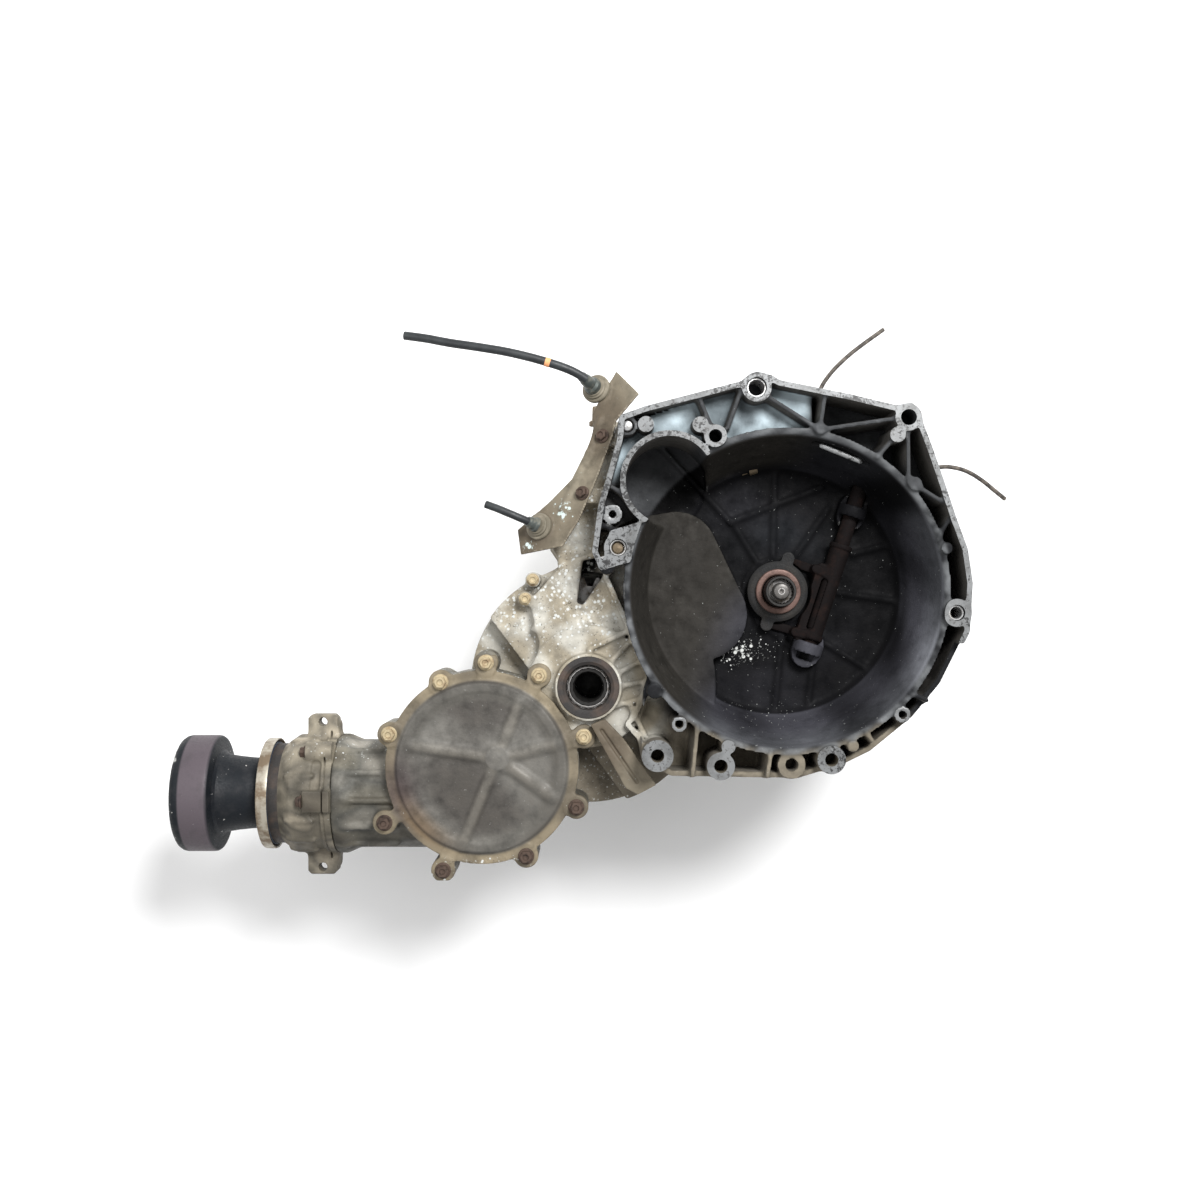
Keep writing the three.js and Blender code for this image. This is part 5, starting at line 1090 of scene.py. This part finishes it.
def transfer_casting():
    top = COVER_Z - 0.3
    bolts = [at for i, at in enumerate(COVER_BOLTS) if i not in SHARED_BOLTS]
    case = Casting((-473, -302, -176), (-193, -56, -48), 2.0)
    case.add(disc(TRANSFER, TRANSFER_RADIUS + 2, -100, top), blend=0)
    case.add(*[disc(at, 12.5, -100, top) for at in bolts], blend=3)
    case.add(*[rib(at, TRANSFER, 14, -100, top, 0) for at in outer_bolts(bolts)], blend=3)
    case.add(spun(TRANSFER, [(0, -97), (92, -97), (60, -150), (0, -150)]), blend=6)
    tube_end = TRANSFER[0] + 12
    case.add(line_spun([(0, tube_end), (42, tube_end), (58, TRANSFER[0] - 20), (58, CARRIER_X + 24),
                        (64, CARRIER_X + 10), (64, CARRIER_X + 0.3), (0, CARRIER_X + 0.3)]), blend=8)
    for degrees in (35, 62, 90, 118, 145):
        y, z = polar(LINE, 60, degrees)
        case.add(ball_bar((CARRIER_X + 6, y, z), (TRANSFER[0] - 92, y, z), 3), blend=4)
    case.cut(disc(DRIVESHAFT, DRIVE_ROOM + 5.3, -97, top + 3), disc(DRIVESHAFT, DIFF_RADIUS + 0.3, -400, -92), blend=0)
    case.cut(*[disc(COVER_BOLTS[i], 12.3, -97, top + 3) for i in SHARED_BOLTS], blend=0)
    case.cut(disc(INPUT, 165.3, -400, 3), blend=0)
    case.cut(disc(TRANSFER, TRANSFER_ROOM, -88, top + 3), disc(TRANSFER, 78, -88.5, -86), blend=0)
    case.cut(line_disc(49, CARRIER_X - 4, TRANSFER[0] - 30), disc(TRANSFER, 10.2, -112, -86), blend=0)
    case.cut(*[disc(at, 4.2, top - 22, top + 3) for at in bolts], blend=0)
    made = case.surface("transfer_housing")
    colours = [(0.04, 0.035, 0.026), (0.085, 0.078, 0.061), (0.06, 0.058, 0.05), (0.13, 0.122, 0.104)]
    # lighter on the north side, as painted light
    case.paint(made, lit_north(spread_tint(colours, 13), 1.2), north_salt(0.05))
    return made


def cover_casting():
    low = COVER_Z
    cover = Casting((-428, -300, -53), (-192, -66, -32), 1.25)
    cover.add(disc(TRANSFER, TRANSFER_RADIUS + 1.5, low, low + 5), blend=0)
    cover.add(*[disc(at, 12.5, low, low + 5.6) for at in COVER_BOLTS], blend=4)
    cover.add(*[rib(at, TRANSFER, 13, low, low + 5, 0) for at in outer_bolts(COVER_BOLTS)], blend=5)
    cover.add(disc(TRANSFER, 91, low + 4, low + 9.5, 87), blend=2.5)
    cover.cut(spun(TRANSFER, [(0, low + 20), (79, low + 20), (77, low + 9), (72, low + 7.6), (0, low + 7.6)]), blend=3)
    cover.add(disc(HUB, 19, low + 4, low + 12, 12), blend=6)
    above = plane((0, 0, low + 5), (0, 0, -1))
    for end in COVER_ARMS:
        arm = ball_bar((*HUB, low + 3.2), (TRANSFER[0] + end[0], TRANSFER[1] + end[1], low + 2.6), 8.6)
        cover.add(arm.within(above), blend=3)
    cover.cut(*[disc(at, 4.2, low - 3, low + 9) for at in COVER_BOLTS], blend=0)
    cover.cut(disc(TRANSFER, 24.3, low - 3, low + 4), disc(DRIVESHAFT, DRIVESHAFT_BOSS + 3, low - 3, low + 20),
              blend=0.5)
    made = cover.surface("transfer_lid")
    cover.paint(made, cover_tint, lambda p, n: 0.55 * ramp(-p[:, 1], 268, 280), 1.5)
    return made


def cover_tint(p, n):
    """Dark grey brown inside the shoulder, a tan rim, and a burnt patch towards the lower left."""
    x, y, z = p.T
    reach = np.hypot(x - TRANSFER[0], y - TRANSFER[1])
    clouds = ramp(np.sin(x / 23) + np.sin(y / 17 + x / 40), -1, 1)
    field = blend_colours((0.052, 0.047, 0.041), (0.118, 0.112, 0.1), clouds)
    field = blend_colours(field, (0.085, 0.08, 0.07), ramp(reach, 66, 76) * (1 - ramp(reach, 84, 90)))
    # paler arm tops: wear on the raised ribs together with a painted highlight
    paler_ridges = np.zeros(len(p))
    for end in COVER_ARMS:
        way = np.add(TRANSFER, end) - np.array(HUB)
        long = np.hypot(*way)
        way = way / long
        run = (x - HUB[0]) * way[0] + (y - HUB[1]) * way[1]
        off = np.abs((y - HUB[1]) * way[0] - (x - HUB[0]) * way[1])
        paler_ridges = np.maximum(paler_ridges, (1 - ramp(off, 2, 7)) * (run > 12) * (1 - ramp(run, long - 6, long)))
    field = blend_colours(field, (0.12, 0.11, 0.093), paler_ridges * 0.6)
    tan = blend_colours((0.2, 0.165, 0.11), (0.12, 0.1, 0.07), ramp(np.sin(x / 9) + np.sin(y / 13), -1, 1))
    tint = blend_colours(field, tan, ramp(reach, 88.5, 92))
    turn = np.degrees(np.arctan2(y - TRANSFER[1], x - TRANSFER[0]))
    burnt = np.clip(hill(turn, -165, 22) + hill(turn, 195, 22), 0, 1) * ramp(reach, 60, 84) * (1 - ramp(reach, 97, 108))
    tint = blend_colours(tint, (0.035, 0.022, 0.024), burnt * 0.8)
    rusty = hill(turn, -135, 20) * ramp(reach, 68, 84) * (1 - ramp(reach, 92, 100))
    return blend_colours(tint, (0.16, 0.105, 0.055), rusty * 0.6)


def carrier_casting():
    carrier = Casting((-531, -307, -196), (-466, -129, -46), 1.4)
    carrier.add(line_spun([(0, CARRIER_X), (64, CARRIER_X), (64, CARRIER_X - 10), (61, CARRIER_X - 12),
                           (61, CARRIER_X - 20), (63.5, CARRIER_X - 22), (63.5, CARRIER_END + 16),
                           (58, CARRIER_END + 8), (52, CARRIER_END), (0, CARRIER_END)]), blend=0)
    for degrees in CARRIER_BOLT_ANGLES:
        y, z = polar(LINE, 66, degrees)
        carrier.add(rod((CARRIER_X, y, z), (CARRIER_X - 28, y, z), 11), blend=5)
    for side in (-1, 1):
        carrier.add(prism([(CARRIER_X - 1, LINE_Y + side * 50), (CARRIER_X - 33, LINE_Y + side * 50),
                           (CARRIER_X - 33, LINE_Y + side * 82), (CARRIER_X - 29, LINE_Y + side * 86),
                           (CARRIER_X - 5, LINE_Y + side * 86), (CARRIER_X - 1, LINE_Y + side * 82)],
                          LINE_Z - 5, LINE_Z + 13), blend=5)
    for degrees in (20, 66, 110, 134, 156, 200, 245, 300, 330):
        y, z = polar(LINE, 62.4, degrees)
        inner_y, inner_z = polar(LINE, 56, degrees)
        ridge_end = (CARRIER_END + 12, inner_y + (y - inner_y) * 0.7, inner_z + (z - inner_z) * 0.7)
        carrier.add(ball_bar((CARRIER_X - 20, y, z), ridge_end, 2.6), blend=3)
    carrier.cut(line_disc(49, CARRIER_X + 4, CARRIER_END + 14), line_disc(40, CARRIER_END + 16, CARRIER_END - 4),
                blend=0)
    for side in (-1, 1):
        y = LINE_Y + side * 78
        carrier.cut(rod((CARRIER_X - 17, y, LINE_Z - 20), (CARRIER_X - 17, y, LINE_Z + 30), 4.5), blend=0)
    x = CARRIER_X - 8
    groove = line_spun([(0, x), (70, x), (70, x + 1.2), (0, x + 1.2)])
    carrier.cut(groove.less(line_disc(62.4, x - 2, x + 3)), blend=0)
    made = carrier.surface("pinion_housing")
    colours = [(0.06, 0.053, 0.04), (0.13, 0.115, 0.087), (0.075, 0.067, 0.052), (0.19, 0.166, 0.126)]
    # lighter on the north side, as painted light
    carrier.paint(made, lit_north(spread_tint(colours, 11), 1.1), north_salt(0))
    return made


for build, replaced in ((transfer_casting, "transfer_case"), (cover_casting, "transfer_cover"),
                        (carrier_casting, "pinion_carrier")):
    finish_piece(build(), "case", COVER_CAST, (replaced,), 50)
for number, at in enumerate(COVER_BOLTS, 1):
    look = DARK_BOLT if at[1] < -222 else YELLOW_ZINC
    hex_bolt(f"cover_screw_{number}", (*at, COVER_Z + 6), (0, 0, 1), 11.5, 8.4, look, (f"cover_bolt_{number}",), 8.4)
for number, degrees in enumerate(CARRIER_BOLT_ANGLES, 1):
    hex_bolt(f"carrier_bolt_{number}", (CARRIER_X - 28.2, *polar(LINE, 66, degrees)), (-1, 0, 0), 10, 7, DARK_BOLT)

# ---------------------------------------------------------------- output flange

on_line("propshaft_flange", -552, [
    (14.6, 2), (34, 2), (36.6, 0.6), (37.6, 2.5), (38.3, 12), (39.6, 25), (41.3, 36), (43.5, 42), (47, 44.6),
    (58, 45.4), (60.8, 46.2), (62, 48), (62.4, 51), (62.4, 78), (61.6, 81.5), (59.5, 84.6), (56, 86.6), (53, 87),
    (51.3, 85.5), (50.2, 80), (49.6, 75.6), (47, 74), (24, 73.6), (19, 72.8), (17.6, 70), (17.2, 58), (14.6, 57),
], "flange_line", "black_steel", FLANGE, ("output_flange",), 96)
on_line("dust_ring", -542, [
    (38, 0), (56, 0), (57.4, -5.4), (58, -6), (59, -6), (59.4, -5), (59.4, 3.5), (58.8, 5.2), (57, 6), (38, 6),
], "flange_line", "zinc_steel", ZINC, ("dust_deflector",), 96)
on_line("dust_ring_lining", -536.4, [(41, 0), (55, 0), (55.4, 5.3), (41, 5.3)],
        "flange_line", "zinc_steel", BLUE_BLACK, (), 96)
on_line("pinion_seal", CARRIER_END + 2, [(40.5, 0), (53.5, 0), (53.5, 12.6), (50, 14.6), (43, 14.6), (40.5, 12)],
        "case", "seal_rubber", RUBBER)
on_line("pinion_nut", -605, [(0.01, 0), (13.5, 0), (13.5, 8), (12.2, 9.5), (7, 9.6), (6.4, 8), (0.01, 7)],
        "flange_line", "gear_steel", ZINC, (), 6, 20)

# ---------------------------------------------------------------- clutch release gear

upright("input_nose", INPUT, -57.8, [
    (9.15, 0), (9.15, 3), (8.75, 9.5), (7.6, 11.4), (6.6, 11.9), (3.4, 11.9), (2.4, 9.6), (0.01, 8.6), (0.01, 0),
], "input_line", "gear_steel", SHAFT_STEEL, (), 40)


SPLINE_SIDES, SPLINE_ROOT, SPLINE_TIP = 80, 12.2, 12.8
turns = [2 * math.pi * (k + 0.5) / SPLINE_SIDES for k in range(SPLINE_SIDES)]
reaches = [SPLINE_TIP if k % 4 in (1, 2) else SPLINE_ROOT for k in range(SPLINE_SIDES)]
points = [(r * math.cos(turn), r * math.sin(turn), z) for z in (-90, -57.8) for r, turn in zip(reaches, turns)]
ends = [tuple(range(SPLINE_SIDES - 1, -1, -1)), tuple(range(SPLINE_SIDES, 2 * SPLINE_SIDES))]
splines = mesh_object("input_splines", points, quad_strip(2, SPLINE_SIDES).tolist() + ends)
finish_piece(splines, "input_line", SHAFT_STEEL, (), 30)
upright("release_guide", INPUT, -94.7, [
    (13, 0), (24, 0), (24, 3.9), (23.5, 4.4), (16.6, 4.6), (16, 5.4), (16, 43.2), (15.4, 44), (13.6, 44), (13, 43.2),
], "case", "zinc_steel", GREASY, ("guide_tube",), 64)
upright("release_ring", INPUT, -76.3, [
    (17, 0), (23.4, 0), (23.7, 0.5), (23.7, 3.2), (22.9, 4.1), (21.5, 4.3), (18.4, 4.1), (17.2, 3), (17, 1),
], "release_slider", "copper_ring", COPPER, ("release_bearing",), 80)
carrier_ring = Casting((-36, -44, -90), (36, 44, -74), 1.0)
carrier_ring.add(spun(INPUT, [(0, -88), (24, -88), (32, -84), (32, -79), (28.5, -76.5), (0, -76.3)]), blend=0)
for side in (-1, 1):
    carrier_ring.add(rib(RELEASE_ALONG[:2] * 28 * side, RELEASE_ALONG[:2] * 37 * side, 13, -84, -79.6, 0), blend=2)
carrier_ring.cut(disc(INPUT, 16.6, -92, -70), blend=0)
finish_piece(carrier_ring.surface("release_carrier"), "release_slider", CARRIER_BLACK, (), 40)

lathe("cross_shaft", release_point(-52), release_point(170), [
    (0.01, 0), (7.2, 0), (8, 0.8), (8, 24), (7.3, 24.4), (7.3, 26), (8, 26.4), (8, 146), (7.4, 146.4), (7.4, 148),
    (8, 148.4), (8, 221.2), (7.2, 222), (0.01, 222),
], "release_lever_line", "rusty_steel", RUST, ("release_shaft",), 40)


def fork_casting():
    fork = Casting((-12, -66, -92), (88, 92, -64), 1.1)
    fork.add(rod(release_point(-38), release_point(66), 10.5), blend=0)
    for end in (-36, 64):
        fork.add(rod(release_point(end - 1), release_point(end + 4), 12), blend=1)
    for side in (-1, 1):
        root, elbow = release_point(34 * side, RELEASE_OFFSET - 4), release_point(35 * side, 30)
        fork.add(rib(root[:2], release_point(35 * side, 2)[:2], 9, -88, -84.6, 0), blend=1)
        fork.add(rib(root[:2], elbow[:2], 9, -88, -70, 0), blend=2)
    fork.add(rib(release_point(-38, 36)[:2], release_point(38, 36)[:2], 10, -86, -72, 0), blend=2)
    fork.cut(rod(release_point(-80), release_point(160), 8.3), disc(INPUT, 34.5, -200, 0), blend=0)
    fork.cut(rib(release_point(-25, 42.5)[:2], release_point(25, 42.5)[:2], 6, -77, -60, 0), blend=1)
    return fork.surface("release_yoke")


finish_piece(fork_casting(), "release_lever_line", RUST, ("release_fork",), 40)
lever = Casting((80, 130, -170), (130, 190, -62), 1.3)
lever.add(rod(release_point(160), release_point(168), 11.5), blend=0)
lever.add(rod(release_point(161.5), release_point(165.5), 11), blend=0)
lever_end = release_point(164, RELEASE_OFFSET + 10, RELEASE_Z - 78)
for step in np.linspace(0, 1, 12):
    middle = release_point(160) * (1 - step) + lever_end * step
    lever.add(rod(middle, middle + RELEASE_ALONG * 6, 11 - 4 * step), blend=0)
lever.cut(rod(release_point(150), release_point(180), 8.3), blend=0)
lever.cut(rod(lever_end - RELEASE_ALONG * 10, lever_end + RELEASE_ALONG * 20, 3.5), blend=0.5)
finish_piece(lever.surface("clutch_lever"), "release_lever_line", ZINC, ("release_lever",), 40)

# ---------------------------------------------------------------- driveshaft socket

upright("driveshaft_neck", DRIVESHAFT, -60, [
    (20.1, 0), (22.1, 0), (22.1, 13.6), (21.6, 14.2), (20.6, 14.2), (20.1, 13.6),
], "differential", "gear_steel", SHAFT_STEEL)
upright("driveshaft_lip", DRIVESHAFT, -45.2, [
    (22.5, 0), (26, 0), (26, 6.9), (31.6, 7.2), (32, 7.7), (31.4, 8.4), (26.6, 8.6), (25, 7.4), (23.6, 6.6),
    (22.5, 4.4),
], "case", "seal_rubber", RUBBER, ("driveshaft_seal",), 80)
upright("right_socket_plug", DRIVESHAFT, -131, [(0.01, 0), (14.8, 0), (14.8, 3), (6, 4.5), (0.01, 5)],
        "right_side_gear", "gear_steel", GREASY, (), 48)
upright("right_socket", DRIVESHAFT, -98, [(16.4, 0), (19.7, 0), (19.7, 49.4), (19, 50.2), (17.4, 50.2), (16.4, 48)],
        "right_side_gear", "gear_steel", GREASY)

# ---------------------------------------------------------------- selector, bracket and grommets

tower = Casting((-164, 102, -202), (-96, 174, -134), 1.5)
tower.add(selector_rod(104.3, 158, 22, 20), blend=0)
tower.add(selector_rod(104.3, 112, 30), blend=4)
tower.add(selector_rod(154, 170, 15, 13), blend=3)
for ring_y in (124, 134, 144):
    tower.cut(selector_rod(ring_y, ring_y + 3, 40).less(selector_rod(100, 180, 19)), blend=1)
tower.cut(selector_rod(98, 178, 9), blend=0)
finish_piece(tower.surface("selector_housing"), "case", PLASTIC, ("selector_tower",), 40)

shift_end = np.array((SELECTOR_X - 62, 180, SELECTOR_Z + 46.0))
shift = Casting((-204, 80, -188), (-108, 206, -106), 1.4)
shift.add(selector_rod(82, 190, 8), blend=0)
shift.add(selector_rod(180, 186, 15), blend=1)
for step in np.linspace(0, 1, 30):
    middle = np.array((SELECTOR_X, 180, SELECTOR_Z)) * (1 - step) + shift_end * step
    shift.add(rod(middle, middle + (0, 6, 0), 14 - 6 * step), blend=0)
shift.add(rod(shift_end + (0, 5, 0), shift_end + (0, 22, 0), 5, 4.4), blend=2)
finish_piece(shift.surface("selector_lever"), "shifter", ZINC, ("shift_lever",), 40)

BRACKET_OUTLINE = [
    (-171, 228), (-148, 202), (-171, 175), (-175, 158), (-192, 112), (-209, 73), (-226, 46), (-270, 38), (-274, 64),
    (-240, 93), (-217, 116), (-205, 139), (-194, 158), (-196, 184),
]


UPPER_EYE, LOWER_EYE = (-190, 209), (-249, 66)


def bracket_rod(eye, low, high, radius, end_radius=None):
    """A bar square to the bracket's sheet, between two heights above its middle."""
    return rod(on_bracket(*eye, low), on_bracket(*eye, high), radius, end_radius)


def bracket_casting():
    sheet = Casting((-277, 34, -96), (-145, 231, -20), 1.2)
    outline = prism(BRACKET_OUTLINE, -96, -20)
    under, over = on_bracket(*BRACKET_POINT[:2], -2), on_bracket(*BRACKET_POINT[:2], 2)
    sheet.add(outline.within(plane(over, BRACKET_NORMAL)).within(plane(under, [-c for c in BRACKET_NORMAL])), blend=0)
    crease = [on_bracket(x, y, 0.6) for x, y in ((-187, 178), (-199, 142), (-226, 84))]
    sheet.add(*[ball_bar(a, b, 3.4) for a, b in zip(crease, crease[1:])], blend=3)
    for eye, radius in ((UPPER_EYE, 18), (LOWER_EYE, 17)):
        sheet.add(bracket_rod(eye, 0, 3, radius, radius - 1.5).within(outline), blend=1.5)
    sheet.cut(bracket_rod(UPPER_EYE, -20, 20, 11), bracket_rod(LOWER_EYE, -20, 20, 10), blend=0.5)
    made = sheet.surface("cable_support")
    sheet.paint(made, bracket_tint, bracket_salt)
    return made


def bracket_tint(p, n):
    wander = ramp(np.sin(p[:, 0] / 13) + np.sin(p[:, 1] / 17 + 1), -1.4, 1.4)
    return blend_colours((0.1, 0.08, 0.055), (0.19, 0.165, 0.12), wander)


def bracket_salt(p, n):
    x, y, _ = p.T
    return np.clip(1.1 * (spot(x, y, (-226, 82), (10, 13)) + spot(x, y, (-262, 47), (6, 8))), 0, 1)


finish_piece(bracket_casting(), "case", BRACKET_CAST, ("cable_bracket",), 40)
for number, at in enumerate(((-184.5, 159), (-205, 100)), 1):
    hex_bolt(f"bracket_bolt_{number}", on_bracket(*at, 2.2), BRACKET_NORMAL, 10, 7.5, DARK_BOLT)

bar = Casting((-202, -213, -44), (-126, -127, -33), 1.2)
bar.add(prism(SUPPORT_BAR, -41.7, -35, grow=-0.2), blend=0)
bar.cut(rib((-186, -143), (-150, -196), 3, -37.5, -30, 0), blend=2)
bar_piece = bar.surface("support_strap")
bar.paint(bar_piece, bracket_tint, even(0.0))
finish_piece(bar_piece, "case", BRACKET_CAST, ("support_bar",), 40)


def grommet(name, eye, size, cord, replaced):
    """A stepped bush in the bracket, and the ferrule that turns up towards its cable."""
    lathe(name, on_bracket(*eye, -10), on_bracket(*eye, 12), [
        (5, 0), (size - 4.5, 0), (size - 4.5, 12.3), (size - 0.6, 12.4), (size, 13), (size, 16), (size - 0.8, 17),
        (size - 2.6, 17.4), (size - 3, 18), (size - 3, 19.6), (size - 4.4, 20.4), (size - 5, 22), (5, 22),
    ], "case", "black_plastic", GROMMET, (replaced,), 56)
    start, end = np.array(on_bracket(*eye, 11)), np.array(cord[0])
    way = np.subtract(cord[1], cord[0])
    end = end + way / np.linalg.norm(way) * 5
    long = float(np.linalg.norm(end - start))
    lathe(name + "_ferrule", start, end, [
        (0.01, 0), (size - 6, 0), (size - 6.4, long * 0.2), (6.6, long * 0.3), (6.2, long * 0.72), (5.6, long * 0.76),
        (5.2, long), (0.01, long),
    ], "case", "black_plastic", FERRULE, (), 40)


grommet("upper_grommet", UPPER_EYE, 15, SHIFT_CABLE, "grommet_upper")
grommet("lower_grommet", LOWER_EYE, 14, SELECT_CABLE, "grommet_lower")

# ---------------------------------------------------------------- dowels, studs and small fittings


for name, at, outer in (("dowel_top", (-31, 204), 10), ("dowel_left", (-170, 43.5), 8.7),
                        ("dowel_right", (169.3, -21.8), 8)):
    upright(name, at, -34, [(outer - 2.2, 0), (outer - 0.15, 0), (outer - 0.15, 29.4), (outer - 0.8, 30.4),
                            (outer - 1.6, 30.4), (outer - 2.2, 29.6)],
            "case", "bearing_steel", BEARING_STEEL, (), 48)
upright("dowel_left_core", (-170, 43.5), -30, [(0.01, 0), (6.3, 0), (6.3, 21), (5, 22.5), (0.01, 23)],
        "case", "rusty_steel", BRASS, (), 40)
upright("corner_stud", (-160.5, 165.8), -30, [(0.01, 0), (5.4, 0), (5.4, 25), (4.6, 26.5), (2.5, 27.4), (0.01, 27.6)],
        "case", "bolt_steel", BEARING_STEEL, (), 40)
lathe("floor_plug", (-38, 127, -89), (-11, 135, -89), [
    (0.01, 0), (4, 0), (4.4, 0.6), (4.4, 8), (6.2, 8.4), (6.2, 17), (4.8, 17.4), (4.8, 26), (4, 27), (0.01, 27),
], "case", "bolt_steel", BRASS, (), 24)
window = Casting((20, 118, -26), (92, 162, -12), 1.0)
window.add(window_rib(150.5, 21, 5, -21.5, -18), blend=0)
finish_piece(window.surface("window_bar"), "case", MACHINED_BOSS, (), 40)

# ---------------------------------------------------------------- inner CAD nodes that keep their shape

for name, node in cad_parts.items():
    if node.hide_render:
        continue
    look = BEARING_STEEL if "bearing" in name or "sleeve" in name else RUST if "fork" in name else GEAR_STEEL
    look = GREASY if "side_gear" in name or "pin" in name else look
    for held in node.material_slots:
        held.link = "OBJECT"
        held.material = look

# ---------------------------------------------------------------- floor, lights and world

bpy.ops.mesh.primitive_plane_add(size=14, location=(0, 0, -0.0005))
floor = bpy.context.object
floor.name = "floor"
floor.data.materials.append(plain_finish("floor_finish", (0.93, 0.93, 0.93), (0.9, 0.9, 0.9), 0.8, 4, 0.0))


def area_light(name, at, towards, size, power):
    lamp = bpy.data.objects.new(name, bpy.data.lights.new(name, "AREA"))
    lamp.data.shape = "DISK"
    lamp.data.size = size
    lamp.data.energy = power
    lamp.location = at
    lamp.rotation_euler = (Vector(towards) - Vector(at)).to_track_quat("-Z", "Y").to_euler()
    bpy.context.scene.collection.objects.link(lamp)


area_light("key", (0.9, 1.3, 2.6), (0, 0, 0.2), 1.0, 120)
area_light("fill", (-1.6, 0.4, 2.4), (0, 0, 0.2), 2.0, 22)
world = bpy.data.worlds.new("studio")
world.use_nodes = True
backdrop = world.node_tree.nodes["Background"].inputs
backdrop["Color"].default_value = (1, 1, 1, 1)
backdrop["Strength"].default_value = 0.6
bpy.context.scene.world = world
bpy.context.scene.view_settings.view_transform = "Standard"
